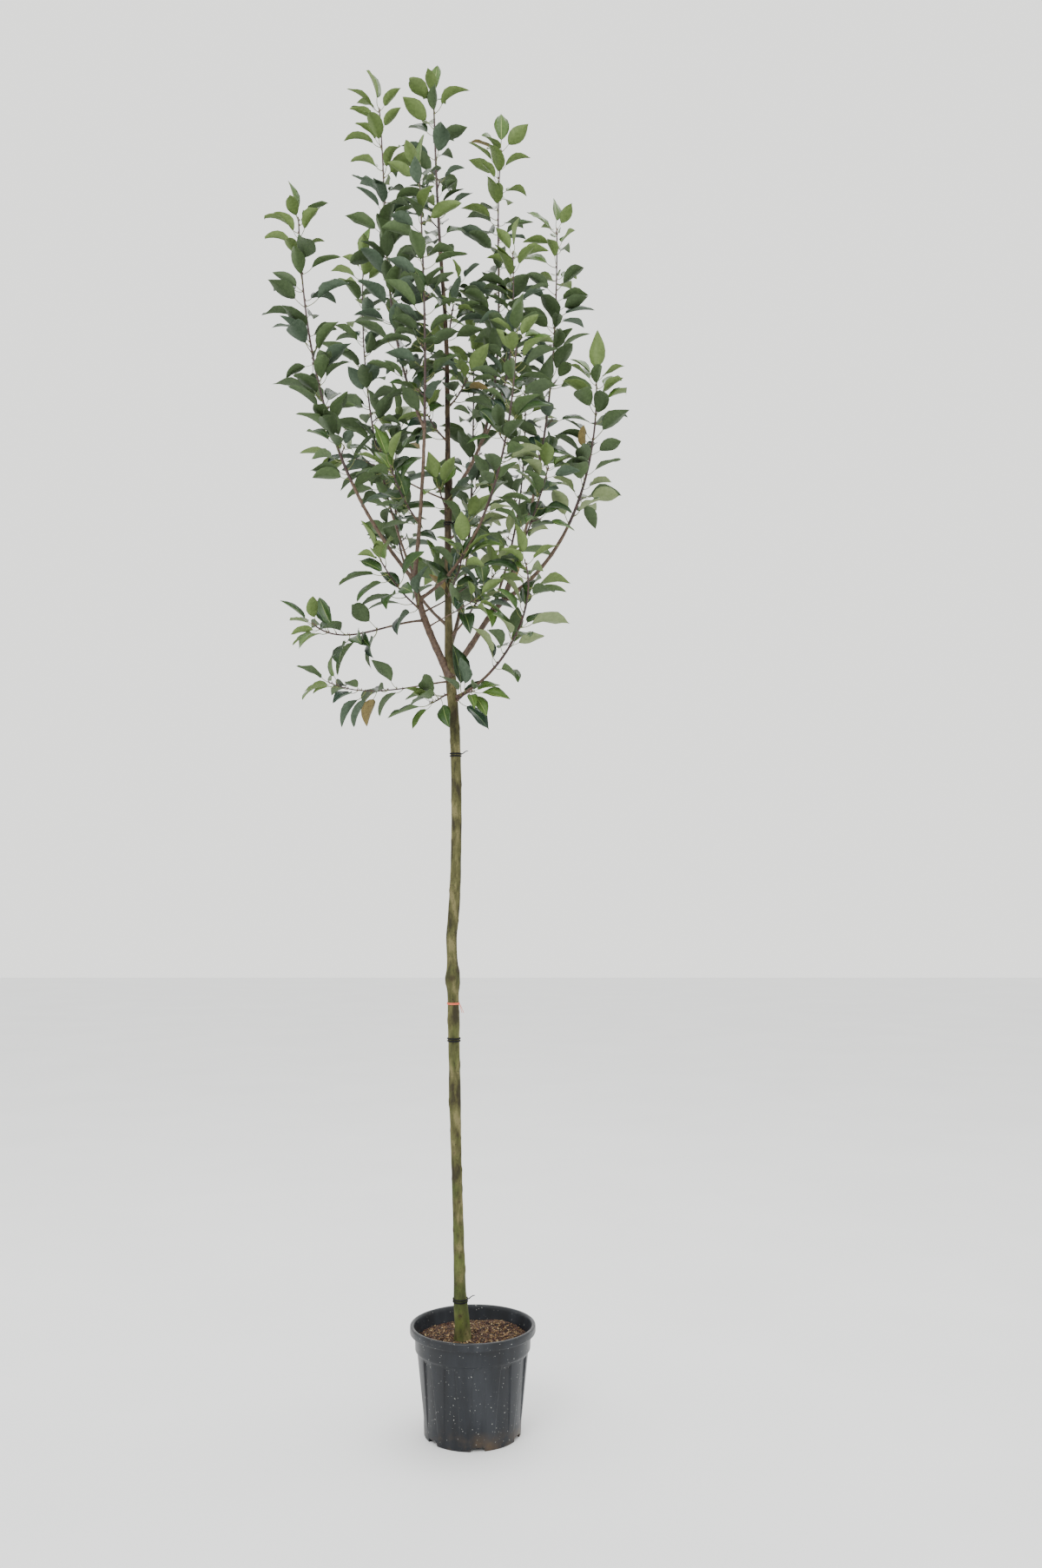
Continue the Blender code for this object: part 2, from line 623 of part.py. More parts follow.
def ring(centre, radius, height):
    angles = np.linspace(0, 2 * math.pi, SOIL_SIDES, endpoint=False)
    return [centre + Vector((radius * math.cos(a), radius * math.sin(a), height)) for a in angles.tolist()]


def make_soil(made):
    """Rings of points whose middle moves from the stem's foot to the pot's axis as they widen, then rings down
    the wall, inside the circle that the wall's flat faces touch."""
    rng = random.Random("soil")
    foot = Vector((TRUNK[0][1], TRUNK[0][2], 0))
    flat = math.cos(math.radians(FLUTE_HALF_END))
    edge = inner_radius(SOIL_EDGE) * math.cos(math.radians(FLUTE_HALF_TOP)) - GAP
    rings = []
    for share in SOIL_RINGS:
        moved = (share - SOIL_RINGS[0]) / (1 - SOIL_RINGS[0])
        rings.append(ring(foot * (1 - moved), edge * share, SOIL_FOOT + (SOIL_EDGE - SOIL_FOOT) * moved**2))
        if 0 < moved < 1:
            for v in rings[-1]:
                v.z += rng.uniform(-SOIL_BUMP, SOIL_BUMP)
    for height in (INNER_STEP, COLLAR_HEIGHT, FLUTE_TOP, FLOOR_THICKNESS + GAP):
        rings.append(ring(Vector(), min(inner_radius(height) * flat, edge - GAP) - GAP, height))
    verts = [v for points in rings for v in points]
    faces = [tuple(range(SOIL_SIDES))]
    for i in range(len(rings) - 1):
        for k in range(SOIL_SIDES):
            a, b = i * SOIL_SIDES + k, i * SOIL_SIDES + (k + 1) % SOIL_SIDES
            faces.append((a, a + SOIL_SIDES, b + SOIL_SIDES, b))
    faces.append(tuple(reversed(range(len(verts) - SOIL_SIDES, len(verts)))))
    finish(mesh_object("soil", (verts, faces)), made)


def cut_clear(obj, course, solids):
    """Cuts a limb clear of its parent and of any limb that was made before it and touches it."""
    sides = [tuple(polygon.vertices) for polygon in obj.data.polygons]
    own = BVHTree.FromPolygons([v.co for v in obj.data.vertices], sides)
    cutters = []
    for name, (verts, faces) in solids.items():
        if name == course.limb.parent or BVHTree.FromPolygons(verts, faces).overlap(own):
            cutters.append(mesh_object("cutter_" + name, (verts, faces)))
    if cutters:
        boolean(obj, "DIFFERENCE", cutters)
        keep_largest(obj)


def build():
    clear_scene()
    pot_black = material("pot_plastic", (0.045, 0.052, 0.062), 0.45)
    bark = material("stem_bark", (0.19, 0.19, 0.07), 0.8)
    shoot = material("shoot_bark", (0.10, 0.055, 0.04), 0.7)
    foliage = material("leaf_green", (0.06, 0.13, 0.035), 0.5)
    potting_bark = material("potting_bark", (0.14, 0.075, 0.035), 0.95)

    make_pot(pot_black)
    make_soil(potting_bark)
    finish(mesh_object("trunk", trunk_tube()), bark)

    courses, solids, room = {}, {"trunk": trunk_tube(GAP)}, Room()
    room.take(trunk_tube(CLEARANCE), ask=False)
    for limb in LIMBS:
        course = courses[limb.name] = Course(limb, courses)
        room.take(course_tube(course, 0, 1, BOUGH_SIDES, CLEARANCE), ask=False)
    for limb in LIMBS:
        if limb.bare > 0:
            course = courses[limb.name]
            bough = mesh_object("bough_" + limb.name, course_tube(course, 0, limb.bare, BOUGH_SIDES))
            cut_clear(bough, course, solids)
            finish(bough, shoot)
            solids[limb.name] = course_tube(course, 0, limb.bare, BOUGH_SIDES, GAP)

    for limb in LIMBS:
        if limb.bare == 1:
            continue
        course = courses[limb.name]
        start = limb.bare + (GAP / course.length if limb.bare else 0)
        mass = mesh_object("leaves_" + limb.name, course_tube(course, start, 1, STEM_SIDES))
        if not limb.bare:
            cut_clear(mass, course, solids)
        leaves, spurs = grow_mass(course, room)
        pieces = [mesh_object("spur", tube(points, radii, SPUR_SIDES)) for points, radii in spurs]
        pieces += [mesh_object("leaf", leaf_solid(leaf)) for leaf in leaves]
        boolean(mass, "UNION", pieces)
        keep_largest(mass)
        finish(mass, foliage, smooth=False)


build()
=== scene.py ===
"""The looks of a young apple tree in a moulded plastic nursery container.

Metres, +Z up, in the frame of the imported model. The limbs, leaves and their seeded rule are the same as in
the solids. Here they carry fine bark, buds, stalks and curved leaves, and a second pass of smaller leaves
fills in. Every surface is a grid of points worked out with numpy.
"""

import json
import math
import random
from collections import namedtuple

import bpy
import numpy as np
from mathutils import Matrix, Vector
from mathutils.bvhtree import BVHTree

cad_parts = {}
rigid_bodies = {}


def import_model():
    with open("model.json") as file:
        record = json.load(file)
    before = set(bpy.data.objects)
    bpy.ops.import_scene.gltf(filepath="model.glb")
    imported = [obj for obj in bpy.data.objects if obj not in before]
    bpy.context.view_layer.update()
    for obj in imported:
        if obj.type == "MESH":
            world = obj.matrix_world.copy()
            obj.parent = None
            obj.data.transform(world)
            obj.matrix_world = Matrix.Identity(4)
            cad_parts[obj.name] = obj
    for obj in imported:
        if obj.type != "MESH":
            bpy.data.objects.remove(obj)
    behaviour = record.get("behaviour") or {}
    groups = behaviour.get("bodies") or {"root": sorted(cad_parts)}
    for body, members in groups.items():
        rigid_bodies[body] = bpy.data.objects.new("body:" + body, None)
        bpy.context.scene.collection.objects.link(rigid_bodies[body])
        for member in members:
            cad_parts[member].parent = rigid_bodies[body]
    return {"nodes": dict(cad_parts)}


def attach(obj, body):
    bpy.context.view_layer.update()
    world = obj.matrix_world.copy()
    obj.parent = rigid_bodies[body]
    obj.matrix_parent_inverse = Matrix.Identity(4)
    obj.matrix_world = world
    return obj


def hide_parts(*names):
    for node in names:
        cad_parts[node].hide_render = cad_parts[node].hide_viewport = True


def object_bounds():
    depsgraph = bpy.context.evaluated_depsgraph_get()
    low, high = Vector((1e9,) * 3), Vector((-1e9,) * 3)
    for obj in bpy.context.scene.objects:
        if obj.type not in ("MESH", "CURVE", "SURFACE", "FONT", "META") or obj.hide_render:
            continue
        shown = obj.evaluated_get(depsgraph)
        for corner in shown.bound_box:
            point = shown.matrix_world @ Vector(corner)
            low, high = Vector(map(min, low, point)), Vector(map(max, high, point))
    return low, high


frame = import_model()
solid_box = [list(corner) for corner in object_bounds()]

MM = 0.001
UP = Vector((0, 0, 1))

# Container: a 20 litre pot with a rolled lip, a collar, and flutes that widen and fade downwards
RIM_HEIGHT = 0.298
RIM_RADIUS = 0.178
FOOT_RADIUS = 0.1366
FOOT_FLARE = 1.6 * MM
COLLAR_HEIGHT = 0.228
COLLAR_RADIUS = 0.163
BODY_TOP_RADIUS = 0.157
WALL = 2.6 * MM
FLUTES = 12
FLUTE_TURN = 8.0
FLUTE_DEPTH = 3.0 * MM
FLUTE_TOP = 0.221
FLUTE_END = 0.034
FLUTE_HALF_TOP = 6.0
FLUTE_HALF_END = 10.0
NOTCHES = 6
NOTCH_HEIGHT = 0.010
INNER_STEP = 0.270
INNER_LEDGE = 2.0 * MM
LIP_HEIGHT = 0.022
LIP_ROLL = 5.0 * MM
LIP_TOP_WIDTH = 7.5 * MM
LIP_WIDTH = 11.5 * MM

# Potting bark: dished a little round the stem
SOIL_EDGE = 0.277
SOIL_FOOT = 0.268

# Stem and leader: height, x, y and diameter where its line or its thickness changes
TRUNK = (
    (0.2683, -0.027, -0.035, 0.047),
    (0.295, -0.028, -0.035, 0.0435),
    (0.355, -0.033, -0.035, 0.040),
    (0.400, -0.036, -0.034, 0.035),
    (0.480, -0.038, -0.033, 0.0325),
    (0.870, -0.051, -0.020, 0.032),
    (0.945, -0.053, -0.017, 0.0345),
    (1.020, -0.055, -0.014, 0.032),
    (1.155, -0.058, -0.010, 0.0345),
    (1.235, -0.060, -0.008, 0.034),
    (1.268, -0.061, -0.007, 0.041),
    (1.302, -0.062, -0.005, 0.033),
    (1.385, -0.065, -0.002, 0.0315),
    (1.475, -0.058, 0.000, 0.033),
    (1.585, -0.054, 0.000, 0.031),
    (1.867, -0.054, 0.000, 0.030),
    (2.015, -0.060, 0.000, 0.030),
    (2.120, -0.069, 0.000, 0.031),
    (2.210, -0.075, 0.000, 0.028),
    (2.350, -0.079, 0.000, 0.0215),
    (2.600, -0.081, 0.000, 0.021),
    (2.700, -0.080, 0.000, 0.024),
    (2.790, -0.082, 0.000, 0.0175),
    (3.010, -0.085, 0.000, 0.0145),
    (3.200, -0.090, 0.000, 0.0125),
    (3.440, -0.107, 0.000, 0.0105),
)
TRUNK_SIDES = 10

# A limb leaves its parent at the height "fork". Directions are a heading in degrees, 0 to the right and
# 90 to the back, and a lean from the vertical. "bare" is the share of its length that carries no leaves.
Limb = namedtuple("Limb", "name parent fork leave tip arrive thick thin bare first_leaf")
LIMBS = (
    Limb("left_main", "trunk", 2.145, (195, 27), (-0.178, -0.050, 2.445), (235, 12), 24, 17, 1.0, 0),
    Limb("left_inner", "left_main", 2.432, (305, 12), (-0.158, -0.200, 3.590), (190, 3), 13, 4, 0.38, 40),
    Limb("left_high", "left_inner", 2.855, (150, 26), (-0.300, 0.030, 3.920), (185, 5), 9, 4, 0.10, 150),
    Limb("left_outer", "left_main", 2.425, (192, 42), (-0.515, -0.140, 3.480), (170, 3), 12, 4, 0.30, 200),
    Limb("left_back", "left_main", 2.435, (118, 40), (-0.372, 0.250, 3.530), (316, 3), 8, 4, 0.24, 70),
    Limb("left_low", "left_main", 2.312, (201, 95), (-0.455, -0.150, 2.276), (177, 49), 7, 4, 0.34, 250),
    Limb("front_cross", "left_main", 2.372, (325, 72), (0.124, -0.300, 3.060), (70, 4), 11, 4, 0.40, 330),
    Limb("behind_cross", "left_main", 2.335, (28, 62), (0.068, 0.130, 2.535), (20, 45), 5, 3, 0.52, 20),
    Limb("front_twig", "left_main", 2.292, (318, 72), (0.005, -0.130, 2.352), (340, 60), 4.5, 3, 0.55, 60),
    Limb("right_main", "trunk", 2.170, (15, 50), (0.105, 0.030, 2.398), (8, 56), 20, 15, 1.0, 0),
    Limb("right_outer", "right_main", 2.390, (352, 58), (0.358, -0.080, 3.025), (122, 3), 14, 4, 0.40, 300),
    Limb("right_inner", "right_main", 2.385, (52, 26), (0.252, 0.250, 3.650), (261, 2), 11, 4, 0.32, 110),
    Limb("right_fill", "right_main", 2.375, (300, 35), (0.215, -0.130, 2.740), (40, 15), 7, 3.5, 0.42, 180),
    Limb("right_back", "right_main", 2.300, (72, 52), (0.150, 0.370, 3.150), (250, 4), 10, 4, 0.36, 10),
    Limb("right_low", "trunk", 2.085, (328, 78), (0.148, -0.180, 2.450), (155, 18), 10, 4, 0.30, 290),
    Limb("right_twig", "trunk", 2.262, (345, 48), (0.060, -0.070, 2.440), (10, 35), 7, 4, 0.40, 0),
    Limb("low_twig", "trunk", 2.136, (222, 100), (-0.421, -0.070, 2.122), (179, 64), 5.5, 3, 0.40, 270),
    Limb("back_main", "trunk", 2.230, (80, 52), (-0.020, 0.380, 3.370), (270, 4), 13, 4, 0.38, 95),
    Limb("back_left", "trunk", 2.300, (140, 55), (-0.270, 0.385, 3.060), (320, 4), 10, 4, 0.40, 220),
    Limb("leader_right", "trunk", 2.690, (40, 42), (0.073, 0.190, 3.880), (357, 5), 12, 4, 0.24, 130),
    Limb("leader_side", "leader_right", 2.880, (330, 40), (0.112, -0.030, 3.430), (100, 6), 7, 3.5, 0.30, 15),
    Limb("leader_left", "trunk", 2.680, (176, 70), (-0.402, 0.050, 2.835), (171, 76), 6, 3, 0.50, 45),
    Limb("left_spray", "left_inner", 2.590, (225, 55), (-0.235, -0.180, 2.725), (200, 20), 6, 4, 0.0, 110),
    Limb("left_fill", "left_main", 2.340, (215, 60), (-0.265, -0.175, 2.460), (215, 35), 6, 4, 0.0, 70),
    Limb("front_fill", "trunk", 2.385, (285, 62), (-0.030, -0.165, 2.480), (285, 30), 6, 4, 0.0, 160),
    Limb("back_fill", "trunk", 2.400, (110, 60), (-0.120, 0.190, 2.520), (110, 30), 6, 4, 0.0, 250),
    Limb("foot_left", "trunk", 2.100, (205, 100), (-0.128, -0.050, 2.062), (200, 110), 6, 4, 0.0, 200),
    Limb("foot_right", "trunk", 2.070, (325, 70), (0.000, -0.065, 2.095), (330, 95), 6, 4, 0.0, 330),
    Limb("spur_a", "trunk", 2.560, (355, 60), (-0.018, -0.020, 2.610), (0, 40), 7, 4, 0.0, 300),
    Limb("spur_b", "trunk", 2.640, (250, 60), (-0.105, -0.060, 2.700), (250, 40), 6, 4, 0.0, 180),
    Limb("spur_c", "trunk", 2.860, (215, 60), (-0.140, -0.040, 2.925), (215, 35), 6, 4, 0.0, 100),
    Limb("spur_d", "trunk", 2.965, (340, 58), (-0.025, -0.030, 3.040), (340, 30), 6, 4, 0.0, 320),
    Limb("spur_e", "trunk", 3.080, (150, 55), (-0.140, 0.050, 3.160), (150, 30), 6, 4, 0.0, 130),
    Limb("spur_f", "trunk", 3.170, (300, 50), (-0.065, -0.060, 3.250), (300, 30), 5.5, 4, 0.0, 270),
    Limb("spur_g", "trunk", 3.290, (30, 50), (-0.050, 0.035, 3.370), (30, 30), 5.5, 4, 0.0, 20),
    Limb("leader_tip", "trunk", 3.440, (180, 4), (-0.131, 0.000, 3.935), (180, 2), 10, 5, 0.0, 60),
)
PULL = 0.35
TAPER = 0.8
CHORDS = 24
BOUGH_SIDES = 7
SPUR_SIDES = 3
SECTION_LENGTH = 0.11

# Leaves: oval, folded along the midrib and arched over, each on a thin stalk. Angles are in degrees, a pair
# is the least and the most, and sizes are shares of the full leaf.
LEAF_LENGTH = 0.106
LEAF_SPREAD = 0.66
WIDTH_VARIES = (0.88, 1.08)
LEAF_THICKNESS = 2.0 * MM
STALK_SHARE = 0.36
STALK_VARIES = (0.75, 1.15)
STALK_RADIUS = 1.4 * MM
WIDEST = 0.45
BEND = (35, 95)
FOLD = (14, 40)
ROLL = 38
FACING = (0.45, 0.75, -0.15)
NODE_SPACING = 0.046
LEAF_TURN = 144
LEAF_LEAN = (44, 68)
LEAF_SIZE = (0.82, 1.14)
YOUNG_SHARE = 0.16
YOUNG_LEAN = (32, 50)
YOUNG_SIZE = (0.62, 0.85)
TIP_LEAVES = ((60, 50, 0.75), (45, 40, 0.80), (9, 18, 0.95))
SLIGHT_LIMB = 6
SLIGHT_LEAVES = 0.75
SPUR_SHARE = 0.55
SPUR_EVERY = 3
SPUR_LENGTH = 0.030
SPUR_RADIUS = 2.6 * MM
SPUR_LEAVES = 3
SPUR_LEAN = (50, 68)
WHORL_LEAN = (35, 75)
WHORL_SIZE = (0.6, 0.95)
LEAST_SPURRED = 0.25
WHORL_STEP = 4.5 * MM
WHORL_INSET = 2.0 * MM

# A leaf that touches something is turned a little to either side, and made a little smaller, a few times
# before it is given up.
TRIES = 9
SWING = 0.16
SHRINK = 0.03
CLEARANCE = 1.6 * MM
FREE_STALK = 0.45

# Finer growth: a second pass of smaller leaves between the first ones. Most leaves beyond YOUNG_REACH of
# their limb are young. REAL_SPREAD and REAL_BEND are shares of the width and bend of the solids' leaves.
FILL_SPACING = 0.026
FILL_SIZE = (0.74, 1.04)
FILL_CLEARANCE = 0.4 * MM
FILL_TRIES = 12
FILL_REACH = 0.97
YOUNG_REACH = 0.78
REAL_SPREAD = 0.84
REAL_BEND = 0.55

# Blade: its rows as shares of the length, and its columns across the upper skin and back under it as shares
# of the half width. BLADE_SKINS gives the skin after each column: 0 is upper, 1 is under and 2 is the rib.
# TWIST is in degrees. The margin's wave has a depth as a share of the length, and its radians along the leaf.
BLADE_ROWS = np.array((0.06, 0.18, 0.33, 0.49, 0.65, 0.80, 0.92))
BLADE_COLUMNS = np.array((-1.0, -0.5, -0.05, 0.05, 0.5, 1.0, 0.96, 0.5, 0.0, -0.5, -0.96))
UNDERSIDE = np.array((0, 0, 0, 0, 0, 0, 1, 1, 1, 1, 1))
BLADE_SKINS = np.array((0, 0, 2, 0, 0, 1, 1, 1, 1, 1, 1))
BLADE_THICKNESS = 0.5 * MM
RIB_RELIEF = 0.6 * MM
MIDRIB_STEPS = 32
MIDRIB_CURVE = 1.25
TWIST = 28
WAVE_DEPTH = (0.02, 0.075)
WAVE_RADIANS = (7, 13)

# Upper skin and its darker mottle, underside and its darker mottle, midrib, and roughness of the upper skin
# Each underside is paler than its upper skin, and is also darkened by painted shade, since it faces away from
# the light
TINTS = {
    "leaves_deep": ("223a18", "192c13", "445535", "38482b", "556632", 0.36),
    "leaves_full": ("2f491e", "253c18", "4b5e38", "3f512e", "66763f", 0.38),
    # Bluish tint: painted sheen, the bluish gloss of the sky on leaves laid into both skins' colour
    "leaves_blue": ("203725", "182b20", "495946", "3b4b39", "536647", 0.34),
    "leaves_young": ("4b662a", "3c5520", "637740", "546734", "7f914e", 0.38),
    # Paler tint: painted light, for the light shining through the leaves low down on the right
    "leaves_pale": ("435f2c", "354e23", "78855b", "69774e", "85915c", 0.42),
    "leaves_dry": ("7f6e31", "5c4b23", "786a3d", "635631", "8d7f4e", 0.6),
}
# One in five of the common leaves takes the bluish tint, which is painted sheen
COMMON_TINTS = ("leaves_deep", "leaves_deep", "leaves_full", "leaves_full", "leaves_blue")
DRY_SHARE = 0.012
YOUNG_TINTED = 0.85
# Leaves low down on the right often take the paler tint, as painted light for the light that shines through
# them there
PAINTED_BACKLIGHT_SHARE = 0.35
PAINTED_BACKLIGHT_BELOW = 2.75
PAINTED_BACKLIGHT_RIGHT_OF = -0.02

# Stalk: rings, sides, radius at its foot and how much it thins in millimetres, how far it runs into the
# blade, and its sag. Bud: sides, height and radius of its rings along its own axis, its tip and foot, and its
# place and lean.
STALK_RINGS = 6
STALK_SIDES = 5
STALK_FOOT = 1.9
STALK_THINS = 0.7
STALK_RUN = 1.04
STALK_SAG = 0.10
BUD_SIDES = 6
BUD_RINGS = ((-1.5 * MM, 1.3 * MM), (1.2 * MM, 1.6 * MM), (3.6 * MM, 0.9 * MM))
BUD_TIP = 5.0 * MM
BUD_FOOT = 2.2 * MM
BUD_OUT = 2.2 * MM
BUD_UP = 2.0 * MM
BUD_LEAN = 0.35

# The container's finer sizes: the soft edges are in degrees, FLUTE_RELIEF deepens the solid's flutes, and
# points nearer the axis than CORE belong to the base and stay as they are
POT_COLUMNS = 720
FLUTE_SOFT = 0.55
FLUTE_RELIEF = 1.5
NOTCH_HALF = 8.0
NOTCH_SOFT = 0.5
NOTCH_FADE = 0.03
LIP_STEPS = 7
CORE = 0.12
AXIS_RING = 0.05
RAISED_BASE = 6 * MM

# The bed falls towards the wall, has a low heap at the right back, and waves of a height, radians per metre
# and a direction. Loose chips lie on it: name, dark and light colour, and share of all.
BED_COLUMNS = 150
BED_RINGS = 46
BED_FALL = 0.014
BED_HEAP = 0.010
HEAP_PLACE = (0.075, 0.085)
HEAP_SPREAD = 0.05
BED_WAVES = ((1.6 * MM, 60, 0.4), (1.3 * MM, 85, 2.1), (0.9 * MM, 170, 3.9), (0.7 * MM, 310, 5.2))
BED_CRUMB = 0.5 * MM
CHIPS = 9000
CHIP_SKINS = (
    ("bark_chip_tan", "5f4930", "86693f", 0.22),
    ("bark_chip_brown", "35221a", "4f3729", 0.26),
    ("bark_chip_red", "2e1712", "47241d", 0.24),
    ("bark_chip_dark", "120c09", "231711", 0.22),
    ("wood_fibre", "8f7a55", "b09c72", 0.06),
)
CHIP_LEAST = 1.6 * MM
CHIP_GROWS = 1.1 * MM
CHIP_WIDTH = (0.12, 0.32)
CHIP_THICKNESS = (0.3, 0.9)
CLEAR_OF_STEM = 0.026

# Stem: height of each bud scar, its side in degrees, and its size
SCARS = (
    (1.996, -20, 1.0), (1.958, 200, 1.1), (1.830, -12, 1.0), (1.782, 195, 0.9), (1.665, 215, 1.1),
    (1.546, -30, 1.0), (1.521, 200, 1.0), (1.433, -15, 0.8), (1.172, -25, 1.0), (1.147, 190, 1.2),
    (1.024, -10, 1.4), (0.916, 190, 1.4), (0.840, 200, 0.9), (0.818, -20, 0.9), (0.779, 250, 0.8),
    (0.730, -12, 0.9), (0.706, 200, 0.8), (0.677, -5, 1.2), (0.643, 290, 0.8), (0.566, 215, 1.2),
    (0.493, 280, 0.8), (0.457, -8, 1.3), (0.419, 235, 1.0), (1.290, 330, 1.8), (1.262, 190, 2.0),
    (1.245, -5, 1.8), (1.268, 268, 2.2), (2.035, 300, 1.2), (2.060, 80, 1.2), (1.610, 95, 1.0),
    (1.100, 80, 1.1), (0.870, 110, 1.0), (0.600, 70, 1.0), (2.420, 300, 1.0), (2.500, 120, 1.0),
    (2.690, 10, 1.8), (2.740, 330, 1.6), (2.950, 200, 0.9), (0.335, 262, 1.3), (0.372, 40, 0.9),
)
SCAR_WIDTH = 6.5 * MM
SCAR_HEIGHT = 7.5 * MM
SCAR_RELIEF = 2.0 * MM
SCAR_DIMPLE = 1.1 * MM
ROOT_FLARE = 1.6 * MM
FLARE_HEIGHT = 0.018
TRUNK_ROWS = 1250
TRUNK_COLUMNS = 56
STEM_UNEVEN = 0.22 * MM

# Wood of the crown: steps along it, sides, and how much it swells at a fork and under its leaves
BOUGH_STEP = 6 * MM
BOUGH_COLUMNS = 18
BOUGH_UNEVEN = 0.035
FORK_SWELL = 0.45
NODE_SWELL = 0.10
NODE_STEP = 0.047
FIRST_NODE = 0.05
NODE_WIDTH = 0.006
SHOOT_STEP = 7 * MM
SHOOT_COLUMNS = 10
SHOOT_NODE = 0.023
SPUR_PLACES = (0, 0.25, 0.5, 0.75, 0.93, 1.0)
SPUR_SHAPE = (1.1, 0.85, 0.95, 0.85, 1.0, 0.6)

# Bands round the stem: height, and the direction of the tail in degrees. A tail's steps go outward and up,
# and its radii are in millimetres. The string's steps are shares of its ends' spread, outward and up.
BANDS = ((0.373, 0), (1.094, 90), (1.918, 5), (2.609, 0), (3.800, 0))
BAND_LIFTS = (-3.4 * MM, 3.4 * MM)
TAIL_STEPS = ((0.0, 0.001), (0.006, 0.004), (0.012, 0.009), (0.017, 0.0115), (0.022, 0.012))
TAIL_RADII = (1.6, 1.6, 1.5, 1.3, 0.9)
STRING_HEIGHT = 1.197
STRING_LIFTS = (-1.6 * MM, 1.5 * MM)
STRING_SPREADS = (0.0, 5 * MM)
STRING_STEPS = (
    (0, 0.0, 0.0), (0.3, 0.002, -0.006), (0.6, 0.004, -0.013), (0.8, 0.006, -0.020), (1, 0.008, -0.027),
)
STRING_RADIUS = 0.8 * MM

# Camera and lights of the stage. Lights: name, place, size in metres and power in watts.
CAMERA_PLACE = (0.1364, -3.8715, 1.515)
CAMERA_PITCH = 94.681
CAMERA_LENS = 30.44
CAMERA_SENSOR = 36
SKY_STRENGTH = 2.1
LIT_POINT = (-0.05, 0, 2.2)
LIGHTS = (
    ("softbox_front", (-2.2, -4.5, 5.2), 3.0, 230),
    ("softbox_top", (0.8, 1.5, 7.0), 4.0, 200),
)

Leaf = namedtuple("Leaf", "root out base ahead side normal length width bend fold")


def heading(degrees, lean):
    """Unit vector from a heading round the vertical and a lean away from it."""
    a, b = math.radians(degrees), math.radians(lean)
    return Vector((math.cos(a) * math.sin(b), math.sin(a) * math.sin(b), math.cos(b)))


def square_to(along):
    """A unit vector square to a direction."""
    reference = Vector((1, 0, 0)) if abs(along.x) < 0.8 else Vector((0, 1, 0))
    return (reference - along * reference.dot(along)).normalized()


def outward_from(along, around):
    """A unit vector square to a direction, turned round it by an angle."""
    first = square_to(along)
    return math.cos(around) * first + math.sin(around) * along.cross(first)


def trunk_point(height):
    """Centre and radius of the trunk at a height: cubics through its stations, with slopes by differences."""
    z, *columns = (np.array(column) for column in zip(*TRUNK))
    i = int(np.clip(np.searchsorted(z, height) - 1, 0, len(z) - 2))
    span = z[i + 1] - z[i]
    t = (height - z[i]) / span
    found = []
    for values in columns:
        slopes = np.gradient(values, z)
        found.append(float(
            values[i] * (1 + 2 * t) * (1 - t) ** 2
            + values[i + 1] * t * t * (3 - 2 * t)
            + span * (slopes[i] * t * (1 - t) ** 2 - slopes[i + 1] * t * t * (1 - t))
        ))
    return Vector((found[0], found[1], height)), found[2] / 2


class Course:
    """The centre line of one limb: a cubic curve from its parent's middle to its tip, and its taper."""

    def __init__(self, limb, courses):
        on_trunk = limb.parent == "trunk"
        foot = trunk_point(limb.fork)[0] if on_trunk else courses[limb.parent].at_height(limb.fork)
        tip = Vector(limb.tip)
        reach = PULL * (tip - foot).length
        self.limb = limb
        self.controls = (foot, foot + reach * heading(*limb.leave), tip - reach * heading(*limb.arrive), tip)
        chords = [(self.point((i + 1) / CHORDS) - self.point(i / CHORDS)).length for i in range(CHORDS)]
        self.length = sum(chords)

    def point(self, t):
        """The point at a share t of the curve."""
        a, b, c, d = self.controls
        s = 1 - t
        return s**3 * a + 3 * s * s * t * b + 3 * s * t * t * c + t**3 * d

    def tangent(self, t):
        """The direction there, from the points a hundredth to either side."""
        step = 0.01
        return (self.point(min(t + step, 1)) - self.point(max(t - step, 0))).normalized()

    def radius(self, t):
        """Half the thickness there, which falls from thick to thin by t^TAPER."""
        return 0.5 * MM * (self.limb.thick + (self.limb.thin - self.limb.thick) * t**TAPER)

    def at_height(self, height):
        """The point of the curve at a height, by halving, for a curve that climbs."""
        low, high = 0.0, 1.0
        for _ in range(40):
            middle = (low + high) / 2
            if self.point(middle).z < height:
                low = middle
            else:
                high = middle
        return self.point(low)

    def stations(self):
        """Evenly spaced shares of the curve, about a section apart."""
        return np.linspace(0, 1, max(3, math.ceil(self.length / SECTION_LENGTH) + 1)).tolist()


def tube(points, radii, sides, ways=None):
    """Vertices and faces of a tube with flat ends: one ring of points round each centre, square to the line,
    each ring's first direction carried on from the ring before."""
    verts, faces = [], []
    across = None
    last = len(points) - 1
    for i, (centre, radius) in enumerate(zip(points, radii)):
        along = ways[i] if ways else (points[min(i + 1, last)] - points[max(i - 1, 0)]).normalized()
        if across is None:
            across = along.cross(Vector((0, 1, 0)) if abs(along.y) < 0.9 else Vector((1, 0, 0)))
        across = (across - along * across.dot(along)).normalized()
        third = along.cross(across)
        for k in range(sides):
            angle = 2 * math.pi * k / sides
            verts.append(centre + radius * (math.cos(angle) * across + math.sin(angle) * third))
    for i in range(len(points) - 1):
        for k in range(sides):
            a, b = i * sides + k, i * sides + (k + 1) % sides
            faces.append((a, b, b + sides, a + sides))
    faces.append(tuple(reversed(range(sides))))
    faces.append(tuple(range(len(verts) - sides, len(verts))))
    return verts, faces


def course_tube(course, grow):
    """A whole limb as a tube, thicker by grow on all sides."""
    shares = course.stations()
    points = [course.point(t) for t in shares]
    ways = [course.tangent(t) for t in shares]
    points[0] = points[0] - grow * ways[0]
    points[-1] = points[-1] + grow * ways[-1]
    return tube(points, [course.radius(t) + grow for t in shares], BOUGH_SIDES, ways)


